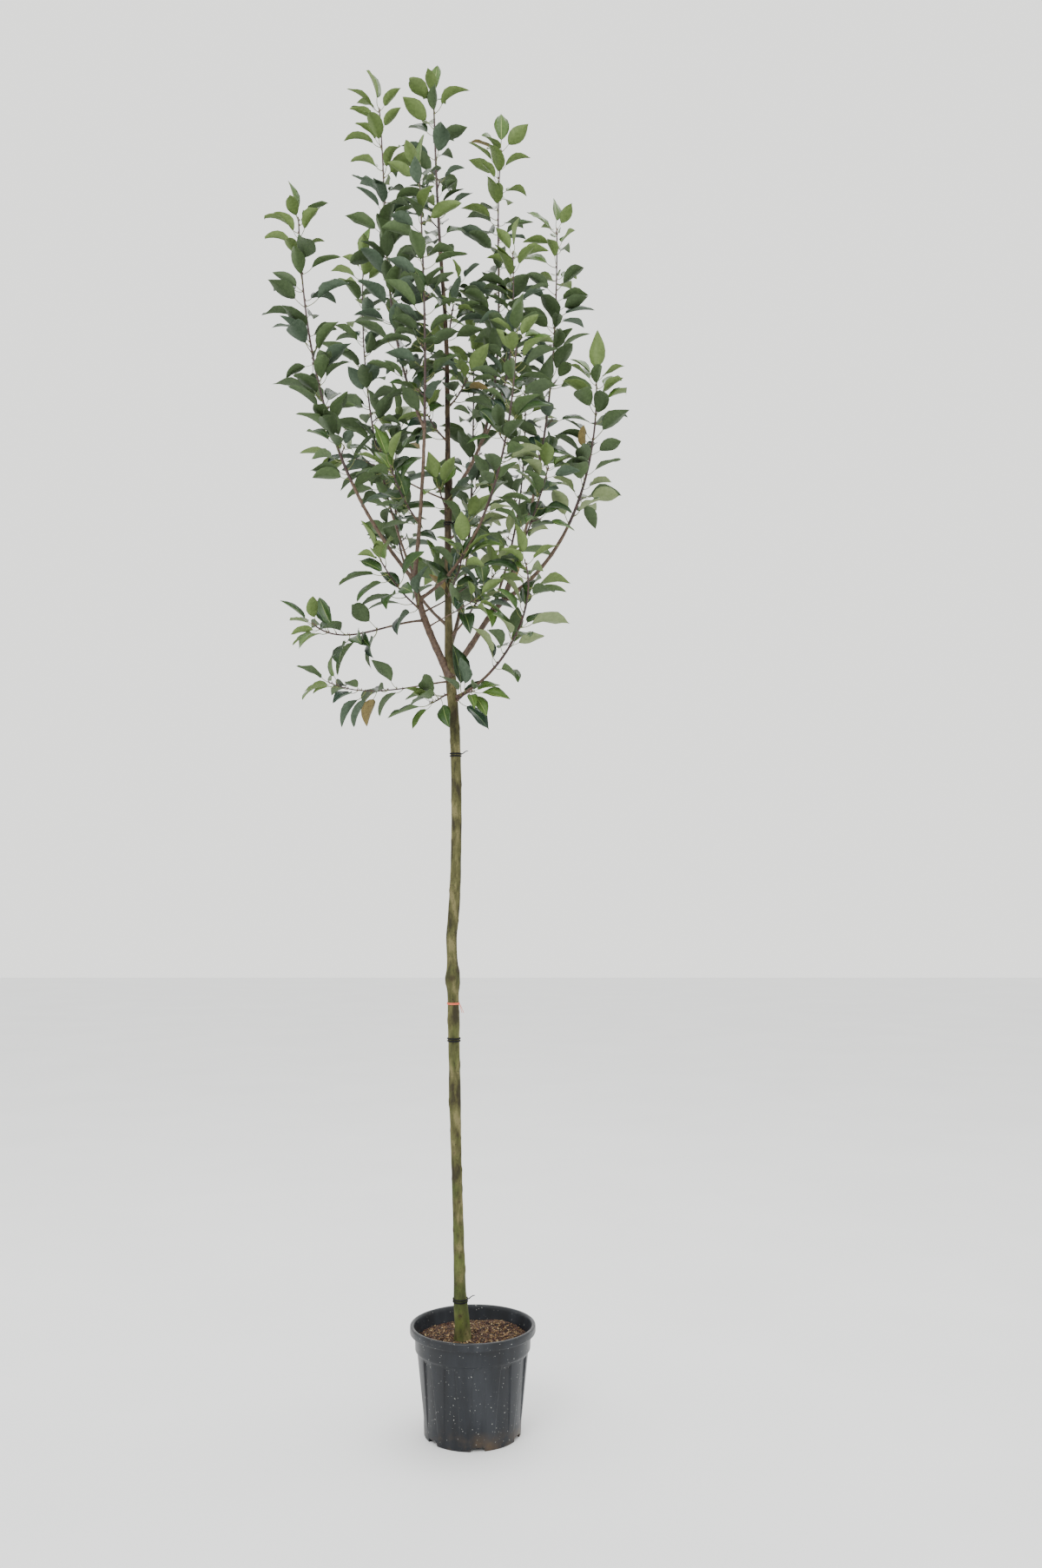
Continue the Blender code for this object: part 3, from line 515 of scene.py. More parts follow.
def trunk_tube(grow):
    """The trunk as a tube, thicker by grow on all sides, with a level foot."""
    heights = [station[0] for station in TRUNK]
    heights += [(a + b) / 2 for a, b in zip(heights, heights[1:]) if b - a > 0.18]
    found = [trunk_point(height) for height in sorted(heights)]
    points = [point for point, _ in found]
    points[0] = points[0] - grow * UP
    points[-1] = points[-1] + grow * UP
    verts, faces = tube(points, [radius + grow for _, radius in found], TRUNK_SIDES)
    for v in verts[:TRUNK_SIDES]:
        v.z = points[0].z
    return verts, faces


def make_leaf(root, along, around, lean, size, rng, bend=None):
    """A leaf's own frame. It leaves the twig at an angle to it, its stalk is straight, and its upper face
    is turned up and towards the twig's tip, with a little roll."""
    outward = outward_from(along, around)
    out = (math.cos(lean) * along + math.sin(lean) * outward).normalized()
    length = LEAF_LENGTH * size
    stalk = length * STALK_SHARE * rng.uniform(*STALK_VARIES)
    ahead = (out + 0.12 * UP * rng.uniform(-1, 1)).normalized()
    facing = (FACING[0] * along + FACING[1] * UP + FACING[2] * out).normalized()
    side = ahead.cross(facing)
    if side.length < 0.15:
        side = ahead.cross(-outward)
    side = Matrix.Rotation(math.radians(rng.uniform(-ROLL, ROLL)), 3, ahead) @ side.normalized()
    turned = math.radians(rng.uniform(*BEND)) if bend is None else bend
    return Leaf(
        root=root,
        out=out,
        base=root + stalk * out,
        ahead=ahead,
        side=side,
        normal=side.cross(ahead),
        length=length,
        width=length * LEAF_SPREAD * rng.uniform(*WIDTH_VARIES),
        bend=turned,
        fold=math.radians(rng.uniform(*FOLD)),
    )


def midrib(leaf, share):
    """Point and local upward direction of the midrib: an arc that turns by leaf.bend over its length."""
    angle = leaf.bend * share
    reach = leaf.length / leaf.bend
    point = leaf.base + reach * (math.sin(angle) * leaf.ahead - (1 - math.cos(angle)) * leaf.normal)
    return point, math.cos(angle) * leaf.normal + math.sin(angle) * leaf.ahead


def leaf_solid(leaf, grow, start):
    """Eleven points: a three-sided stalk from a share of its length on, four round the widest place of the
    folded blade, and its tip, all thicker by grow."""
    root = leaf.root + start * (leaf.base - leaf.root)
    thin = STALK_RADIUS + grow
    verts = []
    for centre, radius in ((root, 0.75 * thin), (leaf.base, 0.95 * thin)):
        verts += [
            centre - radius * leaf.side + 0.5 * radius * leaf.normal,
            centre + radius * leaf.side + 0.5 * radius * leaf.normal,
            centre - radius * leaf.normal,
        ]
    centre, normal = midrib(leaf, WIDEST)
    half = leaf.width / 2 + grow
    rise = math.sin(leaf.fold) * half * normal
    spread = math.cos(leaf.fold) * half * leaf.side
    thick = (LEAF_THICKNESS / 2 + grow) * normal
    tip, _ = midrib(leaf, 1.0)
    verts += [centre + rise - spread, centre + thick, centre + rise + spread, centre - thick]
    verts.append(tip + grow * (tip - centre).normalized())
    faces = [(0, 2, 1), (0, 1, 4, 3), (1, 2, 5, 4), (2, 0, 3, 5)]
    faces += [(3, 4, 7), (3, 7, 6), (4, 8, 7), (3, 6, 9), (3, 9, 5), (4, 5, 9), (4, 9, 8)]
    faces += [(6, 7, 10), (7, 8, 10), (8, 9, 10), (9, 6, 10)]
    return verts, faces


class Room:
    """The room that is taken: closed shapes, each with the ball round it."""

    def __init__(self):
        self.centres = np.zeros((0, 3))
        self.reaches = np.zeros(0)
        self.trees = []

    def take(self, shape, ask=True):
        """Takes the shape's room and says so, or leaves it if something stands there already."""
        verts, faces = shape
        points = np.array(verts)
        centre = points.mean(axis=0)
        reach = np.linalg.norm(points - centre, axis=1).max()
        tree = BVHTree.FromPolygons(verts, faces)
        near = np.linalg.norm(self.centres - centre, axis=1) < self.reaches + reach
        if ask and any(self.trees[i].overlap(tree) for i in np.flatnonzero(near)):
            return False
        self.centres = np.vstack([self.centres, centre])
        self.reaches = np.append(self.reaches, reach)
        self.trees.append(tree)
        return True


def try_leaf(room, root, along, around, lean, size, rng, bend=None, clearance=CLEARANCE, tries=TRIES):
    """A leaf that clears all that stands already, or None after a few turns of its stalk."""
    for attempt in range(tries):
        swing = SWING * attempt * (1 if attempt % 2 else -1)
        leaf = make_leaf(root, along, around + swing, lean, size * (1 - SHRINK * attempt), rng, bend)
        if room.take(leaf_solid(leaf, clearance, FREE_STALK)):
            return leaf
    return None


def grow_spur(room, root, along, around, vigour, rng):
    """A short woody twig, as its foot and its end, with a whorl of leaves at its end."""
    outward = outward_from(along, around)
    lean = math.radians(rng.uniform(*SPUR_LEAN))
    way = (math.cos(lean) * along + math.sin(lean) * outward + 0.2 * UP).normalized()
    length = SPUR_LENGTH * rng.uniform(0.7, 1.3)
    end = root + way * length
    outer = [root + 0.5 * length * way, root + 1.1 * length * way]
    if not room.take(tube(outer, [SPUR_RADIUS] * 2, SPUR_SIDES)):
        return None, []
    leaves = []
    turn = rng.uniform(0, 2 * math.pi)
    for k in range(SPUR_LEAVES):
        foot = end - (WHORL_INSET + (SPUR_LEAVES - 1 - k) * WHORL_STEP) * way
        lean = math.radians(rng.uniform(*WHORL_LEAN))
        size = vigour * rng.uniform(*WHORL_SIZE)
        leaf = try_leaf(room, foot, way, turn + k * math.radians(LEAF_TURN), lean, size, rng)
        if leaf:
            leaves.append(leaf)
    return (root, end), leaves


def grow_mass(course, room):
    """All leaves and spurs of one limb, from its bare part to its tip."""
    limb = course.limb
    rng = random.Random(limb.name)
    vigour = SLIGHT_LEAVES if limb.thick < SLIGHT_LIMB else 1.0
    leafy = course.length * (1 - limb.bare)
    count = max(3, round(leafy / NODE_SPACING))
    leaves, spurs = [], []
    for k in range(count):
        share = (k + 0.6 + rng.uniform(-0.2, 0.2)) / count
        t = limb.bare + (1 - limb.bare) * share
        root, along = course.point(t), course.tangent(t)
        around = math.radians(limb.first_leaf + LEAF_TURN * k + rng.uniform(-18, 18))
        if share < SPUR_SHARE and k % SPUR_EVERY == 1 and leafy > LEAST_SPURRED:
            spur, more = grow_spur(room, root, along, around, vigour, rng)
            if spur and more:
                spurs.append(spur)
                leaves += [(leaf, share) for leaf in more]
                continue
        if share > 1 - YOUNG_SHARE:
            lean, size = rng.uniform(*YOUNG_LEAN), rng.uniform(*YOUNG_SIZE)
        else:
            lean, size = rng.uniform(*LEAF_LEAN), rng.uniform(*LEAF_SIZE)
        leaf = try_leaf(room, root, along, around, math.radians(lean), vigour * size, rng)
        if leaf:
            leaves.append((leaf, share))
    along = course.tangent(1)
    turn = math.radians(limb.first_leaf + 60)
    for k, (lean, bend, size) in enumerate(TIP_LEAVES):
        root = course.point(1) - (WHORL_INSET + (len(TIP_LEAVES) - 1 - k) * WHORL_STEP) * along
        lean = math.radians(lean * rng.uniform(0.8, 1.1))
        size *= vigour * rng.uniform(0.8, 1.1)
        bend = math.radians(bend * rng.uniform(0.7, 1.4))
        leaf = try_leaf(room, root, along, turn + k * math.radians(LEAF_TURN), lean, size, rng, bend)
        if leaf:
            leaves.append((leaf, 1.0))
    return leaves, spurs


def body_radius(height):
    """Outer radius of the ribs between the flutes."""
    share = (height - FLUTE_END) / (FLUTE_TOP - FLUTE_END)
    bottom = FOOT_RADIUS + FOOT_FLARE
    return bottom + (BODY_TOP_RADIUS - bottom) * share


def inner_radius(height):
    """The inside of the wall, behind the flutes below the collar."""
    if height > COLLAR_HEIGHT:
        share = (height - COLLAR_HEIGHT) / (INNER_STEP - COLLAR_HEIGHT)
        low, high = BODY_TOP_RADIUS - INNER_LEDGE, COLLAR_RADIUS - INNER_LEDGE / 2
        return low + share * (high - low)
    return body_radius(height) - FLUTE_DEPTH - WALL


def linear(code):
    """A colour as Blender wants it, from its sRGB hex code."""
    parts = [int(code[i : i + 2], 16) / 255 for i in (0, 2, 4)]
    return [p / 12.92 if p <= 0.04045 else ((p + 0.055) / 1.055) ** 2.4 for p in parts] + [1.0]


def feed(tree, node, inputs):
    """Gives a node its inputs, by name or number: a value, an output, or a node for its first output in
    use."""
    for key, value in inputs.items():
        named = [socket for socket in node.inputs if socket.enabled and socket.name == key]
        socket = named[0] if named else node.inputs[key]
        if isinstance(value, bpy.types.Node):
            value = next(output for output in value.outputs if output.enabled)
        if isinstance(value, bpy.types.NodeSocket):
            tree.links.new(value, socket)
        else:
            socket.default_value = value


def add(tree, kind, inputs=None, stops=(), **settings):
    """Adds a shader node with its settings, its inputs and, for a ramp, its stops of place and hex code."""
    node = tree.nodes.new("ShaderNode" + kind)
    for key, value in settings.items():
        setattr(node, key, value)
    if stops:
        while len(node.color_ramp.elements) < len(stops):
            node.color_ramp.elements.new(0.5)
        for element, (place, code) in zip(node.color_ramp.elements, stops):
            element.position = place
            element.color = linear(code)
    feed(tree, node, inputs or {})
    return node


def start_material(name):
    """A new material with its node tree, its shader and the object's own coordinates in metres."""
    made = bpy.data.materials.new(name)
    made.use_nodes = True
    tree = made.node_tree
    return made, tree, tree.nodes["Principled BSDF"], add(tree, "TexCoord").outputs["Object"]


def blobs(where, size, detail):
    """The inputs of a noise whose blobs are about size metres across."""
    return {"Vector": where, "Scale": 1 / size, "Detail": detail, "Roughness": 0.55}


def mottle(tree, where, size, detail, stops):
    """Colours in blobs about size metres across: noise through a ramp."""
    return add(tree, "ValToRGB", {"Fac": add(tree, "TexNoise", blobs(where, size, detail))}, stops)


def spread(tree, where, size, detail, span):
    """Shares in blobs about size metres across: noise carried from one range to another."""
    return add(tree, "MapRange", {"Value": add(tree, "TexNoise", blobs(where, size, detail)), **span})


def grain(tree, where, size, detail, depth):
    """Relief of that depth in metres, from noise with blobs about size metres across."""
    height = add(tree, "TexNoise", blobs(where, size, detail))
    return add(tree, "Bump", {"Height": height, "Distance": depth, "Strength": 1.0})


def layered(tree, colour, layers):
    """A colour with others laid over it in order, each by its share."""
    for share, above in layers:
        colour = add(tree, "Mix", {"Factor": share, "A": colour, "B": above}, data_type="RGBA")
    return colour


def mottled(name, dark, light, size, detail, levels, relief=None):
    """A material of two close colours in blobs about size metres across, with the shader's other levels, and
    relief as the size, detail and depth of its grain."""
    made, tree, shader, where = start_material(name)
    colour = mottle(tree, where, size, detail, ((0.3, dark), (0.7, light)))
    feed(tree, shader, {"Base Color": colour, **levels})
    if relief:
        feed(tree, shader, {"Normal": grain(tree, where, *relief)})
    return made


def leaf_skins(name, upper, upper_dark, under, under_dark, rib, rough):
    """A living leaf's skins: waxy, so half glossy, with faint mottling a few millimetres across. The
    underside is paler and duller, its colours darkened by painted shade, and the rib is plain."""
    waxy = {"IOR": 1.42, "Specular IOR Level": 0.4}
    # The underside's colours hold painted shade as well as its own paler green
    sides = (("_upper", upper_dark, upper, rough), ("_under", under_dark, under, 0.62))
    skins = [
        mottled(name + end, dark, light, 0.009, 2.0, {"Roughness": dull, **waxy}, (0.0045, 2.0, 0.25 * MM))
        for end, dark, light, dull in sides
    ]
    return [*skins, mottled(name + "_rib", rib, rib, 0.02, 3.0, {"Roughness": 0.5})]


def trunk_bark():
    """Young apple bark: olive, greener with algae low down, browner upwards, with dark flecks and scars."""
    made, tree, shader, where = start_material("apple_bark")
    height = add(tree, "SeparateXYZ", {"Vector": where}).outputs["Z"]
    drawn = add(tree, "Mapping", {"Vector": where, "Scale": (1, 1, 0.35)})
    olive = ((0.38, "2b2716"), (0.46, "424023"), (0.54, "504e2e"), (0.62, "6a6442"))
    skin = mottle(tree, drawn, 0.022, 5.0, olive)
    algae = mottle(tree, drawn, 0.030, 3.0, ((0.4, "313d17"), (0.6, "4d5a24")))
    downwards = {"From Min": 1.5, "From Max": 0.3, "To Min": 0.1, "To Max": 0.8}
    low = add(tree, "MapRange", {"Value": height, **downwards})
    patch = spread(tree, where, 0.07, 2.0, {"From Min": 0.42, "From Max": 0.62})
    wet = add(tree, "Math", {0: low, 1: patch}, operation="MULTIPLY")
    brown = mottle(tree, drawn, 0.012, 4.0, ((0.4, "281d15"), (0.6, "4c3e2e")))
    high = add(tree, "MapRange", {"Value": height, "From Min": 1.95, "From Max": 2.75})
    fleck = mottle(tree, where, 0.0045, 3.0, ((0.60, "000000"), (0.70, "ffffff")))
    scar = add(tree, "Attribute", attribute_name="scar").outputs["Fac"]
    layers = ((wet, algae), (high, brown), (fleck, linear("2a2114")), (scar, linear("2c2015")))
    feed(tree, shader, {
        "Base Color": layered(tree, skin, layers),
        "Roughness": 0.75,
        "Specular IOR Level": 0.25,
        "Normal": grain(tree, drawn, 0.004, 5.0, 0.5 * MM),
    })
    return made


def wood_skin(name, dark, light, rough, size=0.008):
    """Bark of young wood: thin, smooth and slightly waxy, dotted with pale pores."""
    made, tree, shader, where = start_material(name)
    skin = mottle(tree, where, size, 4.0, ((0.3, dark), (0.7, light)))
    pores = mottle(tree, where, 0.0028, 1.0, ((0.66, "000000"), (0.72, "777777")))
    feed(tree, shader, {
        "Base Color": layered(tree, skin, [(pores, linear("6f5d48"))]),
        "Roughness": rough,
        "Normal": grain(tree, where, 0.003, 3.0, 0.3 * MM),
    })
    return made


def pot_plastic():
    """Injection-moulded recycled polypropylene: dark slate, satin, scuffed, dusty, with dirt at its foot."""
    made, tree, shader, where = start_material("moulded_polypropylene")
    height = add(tree, "SeparateXYZ", {"Vector": where}).outputs["Z"]
    drawn = add(tree, "Mapping", {"Vector": where, "Scale": (1, 1, 0.2)})
    body = mottle(tree, drawn, 0.05, 5.0, ((0.38, "14161a"), (0.52, "1a1d22"), (0.66, "25282d")))
    specks = mottle(tree, where, 0.0032, 0.0, ((0.815, "000000"), (0.84, "ffffff")))
    low = add(tree, "MapRange", {"Value": height, "From Min": 0.055, "From Max": 0.0})
    smudge = spread(tree, where, 0.05, 4.0, {"From Min": 0.45, "From Max": 0.7})
    dirt = add(tree, "Math", {0: low, 1: smudge}, operation="MULTIPLY")
    feed(tree, shader, {
        "Base Color": layered(tree, body, ((specks, linear("a9aaa5")), (dirt, linear("4a3c2b")))),
        "Roughness": spread(tree, drawn, 0.03, 4.0, {"To Min": 0.26, "To Max": 0.5}),
        "IOR": 1.49,
        "Specular IOR Level": 0.3,
        "Normal": grain(tree, where, 0.0016, 2.0, 0.08 * MM),
    })
    return made


def crumbs(name, dark, light):
    """Composted bark and fibre: matt, broken, each piece mottled."""
    return mottled(name, dark, light, 0.004, 4.0, {"Roughness": 0.9}, (0.0012, 3.0, 0.4 * MM))


class Batch:
    """Shapes gathered as arrays, to be made into one mesh."""

    def __init__(self):
        self.points = []
        self.faces = []
        self.skins = []
        self.count = 0

    def take(self, points, faces, skins=None):
        """Adds points and groups of faces, with the number of each face's material, or 0 for all."""
        points = np.asarray(points, float).reshape(-1, 3)
        self.faces += [group + self.count for group in faces]
        self.skins += skins or [np.zeros(len(group)) for group in faces]
        self.points.append(points)
        self.count += len(points)

    def piece(self, name, materials, replaced=(), values=None):
        """Makes the mesh and its object, a piece of the root body, and hides the nodes it replaces."""
        sizes = np.concatenate([np.full(len(group), group.shape[1]) for group in self.faces])
        corners = np.concatenate([group.ravel() for group in self.faces])
        mesh = bpy.data.meshes.new(name)
        mesh.vertices.add(self.count)
        mesh.vertices.foreach_set("co", np.concatenate(self.points).ravel())
        mesh.loops.add(len(corners))
        mesh.loops.foreach_set("vertex_index", corners)
        mesh.polygons.add(len(sizes))
        mesh.polygons.foreach_set("loop_start", np.concatenate([[0], np.cumsum(sizes)[:-1]]))
        mesh.polygons.foreach_set("material_index", np.concatenate(self.skins).astype(int))
        mesh.update(calc_edges=True)
        mesh.validate()
        mesh.shade_smooth()
        for made in materials:
            mesh.materials.append(made)
        if values is not None:
            attribute = mesh.attributes.new("scar", "FLOAT", "POINT")
            attribute.data.foreach_set("value", values.astype(np.float32))
        obj = bpy.data.objects.new(name, mesh)
        bpy.context.scene.collection.objects.link(obj)
        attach(obj, "root")
        if replaced:
            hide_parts(*replaced)


def unit(vectors):
    """Vectors of length one, along the last axis."""
    return vectors / np.linalg.norm(vectors, axis=-1, keepdims=True)


def around_circle(count):
    """Evenly spaced angles of a full turn."""
    return np.linspace(0, 2 * np.pi, count, endpoint=False)


def grid_faces(rows, columns):
    """Quads of a grid that closes round its columns."""
    i, k = np.meshgrid(np.arange(rows - 1), np.arange(columns), indexing="ij")
    a, b = i * columns + k, i * columns + (k + 1) % columns
    return np.stack([a, b, b + columns, a + columns], -1).reshape(-1, 4)


def fan(centre, rim, turned):
    """Triangles from one point to a closed rim of points, turned to face the other way if asked."""
    other = np.roll(rim, -1)
    pairs = (other, rim) if turned else (rim, other)
    return np.stack([np.full(len(rim), centre), *pairs], -1)


def fans(count, columns):
    """Fans that close the first and last row of a grid of count points, to the two points that follow it."""
    rim = np.arange(columns)
    return np.vstack([fan(count, rim, True), fan(count + 1, rim + count - columns, False)])


def closed_grid(points, first, last):
    """A grid of points by row and column, closed round its columns and by a point at either end."""
    rows, columns, _ = points.shape
    faces = [grid_faces(rows, columns), fans(rows * columns, columns)]
    return np.vstack([points.reshape(-1, 3), first, last]), faces


def closed_tube(path, radii, sides):
    """A tube round a path, radii by row and column, with a point at the middle of each end. Each ring's first
    direction is carried on from the ring before it."""
    path = np.asarray(path, float)
    ways = unit(np.gradient(path, axis=0))
    across = np.zeros_like(path)
    last = np.array((0.0, -1.0, 0.0)) if abs(ways[0][1]) < 0.9 else np.array((1.0, 0.0, 0.0))
    for i, way in enumerate(ways):
        last = last - way * last.dot(way)
        last /= np.linalg.norm(last)
        across[i] = last
    third = np.cross(ways, across)
    angles = around_circle(sides)[None, :, None]
    radii = np.broadcast_to(np.asarray(radii, float).reshape(len(path), -1), (len(path), sides))[:, :, None]
    spokes = np.cos(angles) * across[:, None] + np.sin(angles) * third[:, None]
    return closed_grid(path[:, None] + radii * spokes, path[0], path[-1])


def smooth(low, high, value):
    """Rises from 0 at low to 1 at high by 3t^2 - 2t^3."""
    t = np.clip((value - low) / (high - low), 0, 1)
    return t * t * (3 - 2 * t)


def turned_shape(profile, columns, shift):
    """A profile of (radius, height) carried round Z, where shift(angle, radius, height) gives the final
    radius and height, closed by a point on the axis at both ends."""
    radius, height = np.array(profile).T
    angle = around_circle(columns)
    r, z = shift(*np.broadcast_arrays(angle[None, :], radius[:, None], height[:, None]))
    points = np.stack([r * np.cos(angle), r * np.sin(angle), z], -1)
    return closed_grid(points, (0, 0, z[0].mean()), (0, 0, z[-1].mean()))


def cut_finely(points, step):
    """Straight stretches between profile points, cut into steps about that long."""
    found = []
    for (r0, z0), (r1, z1) in zip(points, points[1:]):
        steps = max(1, round(math.hypot(r1 - r0, z1 - z0) / step))
        found += [(r0 + (r1 - r0) * k / steps, z0 + (z1 - z0) * k / steps) for k in range(steps)]
    return found + [points[-1]]


def repeated(points, groups):
    """Many shapes of one build: their points by shape and number, and the faces of one shape for each."""
    count, each, _ = points.shape
    offsets = each * np.arange(count)[:, None, None]
    return points.reshape(-1, 3), [(group[None] + offsets).reshape(-1, group.shape[1]) for group in groups]


def off_centre(turn, count):
    """Degrees from the nearest of count evenly spaced middles."""
    pitch = 360 / count
    return np.abs((turn + pitch / 2) % pitch - pitch / 2)


def make_pot():
    """The container's wall as one closed turned shape: underside, foot ring, fluted wall, collar, rolled lip
    and inside. Flutes sink by a depth that fades in from a soft edge, and the foot rises over the notches."""
    lip = [
        (RIM_RADIUS - LIP_ROLL * (1 - math.cos(a)), RIM_HEIGHT - LIP_ROLL * (1 - math.sin(a)))
        for a in np.linspace(0, math.pi / 2, LIP_STEPS).tolist()
    ]
    lip_foot = RIM_HEIGHT - LIP_HEIGHT
    outside = [
        (FOOT_RADIUS - 9 * MM, RAISED_BASE),
        (FOOT_RADIUS - 7 * MM, 1.2 * MM),
        (FOOT_RADIUS - 5 * MM, 0.0),
        (FOOT_RADIUS - 1.5 * MM, 0.0),
        (FOOT_RADIUS, 1.5 * MM),
        (body_radius(FLUTE_END) - 0.3 * MM, FLUTE_END),
        (body_radius(FLUTE_TOP), FLUTE_TOP),
        (BODY_TOP_RADIUS + 0.4 * MM, COLLAR_HEIGHT - 2 * MM),
        (BODY_TOP_RADIUS + 1.6 * MM, COLLAR_HEIGHT),
        (COLLAR_RADIUS - 1.2 * MM, COLLAR_HEIGHT + 2.2 * MM),
        (COLLAR_RADIUS, COLLAR_HEIGHT + 4.5 * MM),
        (COLLAR_RADIUS + 1.4 * MM, lip_foot - 3 * MM),
        (COLLAR_RADIUS + 3 * MM, lip_foot - 0.6 * MM),
        (RIM_RADIUS - 3 * MM, lip_foot),
        (RIM_RADIUS - 0.8 * MM, lip_foot + 0.8 * MM),
        (RIM_RADIUS, lip_foot + 3 * MM),
    ]
    inside = [
        (RIM_RADIUS - LIP_TOP_WIDTH, RIM_HEIGHT),
        (RIM_RADIUS - LIP_WIDTH + 1.5 * MM, RIM_HEIGHT - 1.2 * MM),
        (RIM_RADIUS - LIP_WIDTH, RIM_HEIGHT - 4 * MM),
        (inner_radius(INNER_STEP), INNER_STEP),
        (inner_radius(COLLAR_HEIGHT), COLLAR_HEIGHT),
        (AXIS_RING, COLLAR_HEIGHT - 4 * MM),
    ]
    wall = cut_finely(outside, 5 * MM)
    profile = [(AXIS_RING, RAISED_BASE)] + wall + lip + cut_finely(inside, 6 * MM)

    def shift(angle, radius, height):
        turn = np.degrees(angle) - 270 - FLUTE_TURN
        fade = np.clip((FLUTE_TOP - height) / (FLUTE_TOP - FLUTE_END), 0, 1)
        half = FLUTE_HALF_TOP + (FLUTE_HALF_END - FLUTE_HALF_TOP) * fade
        plateau = 1 - smooth(-FLUTE_SOFT, FLUTE_SOFT, off_centre(turn, FLUTES) - half)
        depth = FLUTE_DEPTH * (1 - fade) ** 0.5 * smooth(FLUTE_TOP + 1.5 * MM, FLUTE_TOP - 2.5 * MM, height)
        outer = (radius > CORE) & (np.arange(len(height))[:, None] < len(wall))
        notch = 1 - smooth(-NOTCH_SOFT, NOTCH_SOFT, off_centre(turn, NOTCHES) - NOTCH_HALF)
        raised = notch * NOTCH_HEIGHT * np.clip(1 - height / NOTCH_FADE, 0, 1) * (radius > CORE)
        return radius - FLUTE_RELIEF * plateau * depth * outer, height + raised

    batch = Batch()
    batch.take(*turned_shape(profile, POT_COLUMNS, shift))
    batch.piece("container", [pot_plastic()], ["pot"])


def bed_edge():
    """Radius of the bed, just inside the wall."""
    return inner_radius(SOIL_EDGE) - 0.6 * MM


def bed_level(x, y):
    """Height of the bed: it falls by the radius to the power 2.5, with a heap, and waves that fade at the
    wall."""
    share = np.hypot(x, y) / bed_edge()
    heap = np.exp(-(((x - HEAP_PLACE[0]) / HEAP_SPREAD) ** 2) - ((y - HEAP_PLACE[1]) / HEAP_SPREAD) ** 2)
    dish = SOIL_FOOT - BED_FALL * share**2.5 + BED_HEAP * heap
    waves = sum(a * np.sin(x * f * math.cos(p) + y * f * math.sin(p) + 3 * p) for a, f, p in BED_WAVES)
    return dish + waves * np.clip((1 - share) * 6, 0, 1)


def make_bed(rng):
    """The filled bed: a closed turned shape with a dished and crumbly top."""
    base = COLLAR_HEIGHT + 2 * MM
    top = [(r, 0.0) for r in np.linspace(bed_edge(), 0.004, BED_RINGS).tolist()]
    profile = [(AXIS_RING, base), (inner_radius(COLLAR_HEIGHT) - 1.5 * MM, base)] + top

    def shift(angle, radius, height):
        level = bed_level(radius * np.cos(angle), radius * np.sin(angle))
        return radius, np.where(height > 0, height, level + rng.normal(0, BED_CRUMB, level.shape))

    bed = Batch()
    bed.take(*turned_shape(profile, BED_COLUMNS, shift))
    bed.piece("potting_bed", [crumbs("composted_bark", "150d08", "35231a")], ["soil"])


def make_chips(rng):
    """Loose chips of bark on the bed: bent boxes of random length, laid nearly flat, clear of the stem."""
    length = rng.gamma(3.0, CHIP_GROWS, CHIPS) + CHIP_LEAST
    width = length * rng.uniform(*CHIP_WIDTH, CHIPS)
    half = np.stack([length / 2, width, rng.uniform(*CHIP_THICKNESS, CHIPS) * MM], -1)
    r = (bed_edge() - 5 * MM) * np.sqrt(rng.uniform(0, 1, CHIPS))
    a = rng.uniform(0, 2 * np.pi, CHIPS)
    x, y = r * np.cos(a), r * np.sin(a)
    clear = np.hypot(x - TRUNK[0][1], y - TRUNK[0][2]) > CLEAR_OF_STEM
    x, y, half = x[clear], y[clear], half[clear]
    count = len(x)
    turn = rng.uniform(0, 2 * np.pi, count)
    tip = rng.normal(0, 0.3, count)
    roll = rng.normal(0, 0.4, count)[:, None]
    ahead = np.stack([np.cos(turn) * np.cos(tip), np.sin(turn) * np.cos(tip), np.sin(tip)], -1)
    level = unit(np.cross(np.array((0, 0, 1.0)), ahead))
    square = np.cross(ahead, level)
    side = np.cos(roll) * level + np.sin(roll) * square
    up = np.cos(roll) * square - np.sin(roll) * level
    corner = np.array([(i, j, k) for k in (-1, 1) for j in (-1, 1) for i in (-1, 1)], float)
    shape = corner[None] * (1 + rng.uniform(-0.3, 0.1, (count, 8, 1))) * half[:, None]
    centre = np.stack([x, y, bed_level(x, y) + 0.8 * MM + rng.uniform(0, 1.2, count) * MM], -1)
    ways = enumerate((ahead, side, up))
    points = centre[:, None] + sum(shape[:, :, k : k + 1] * way[:, None] for k, way in ways)
    box = np.array([(0, 2, 3, 1), (4, 5, 7, 6), (0, 1, 5, 4), (2, 6, 7, 3), (0, 4, 6, 2), (1, 3, 7, 5)])
    kinds = rng.choice(len(CHIP_SKINS), count, p=[share for *_, share in CHIP_SKINS])
    chips = Batch()
    chips.take(*repeated(points, [box]), [np.repeat(kinds, len(box))])
    skins = [crumbs(name, dark, light) for name, dark, light, _ in CHIP_SKINS]
    chips.piece("bark_chips", skins)


def ripple(rows, columns, height, seed, amount):
    """Uneven thickness: a few long waves along the height and round the stem."""
    rng = np.random.default_rng(seed)
    angle = around_circle(columns)[None, :]
    found = np.zeros((rows, columns))
    for k in range(9):
        turns, pitch = rng.integers(1, 6), rng.uniform(15, 140)
        found += np.sin(turns * angle + pitch * height[:, None] + rng.uniform(0, 6.3)) / (1 + 0.4 * k)
    return amount * found


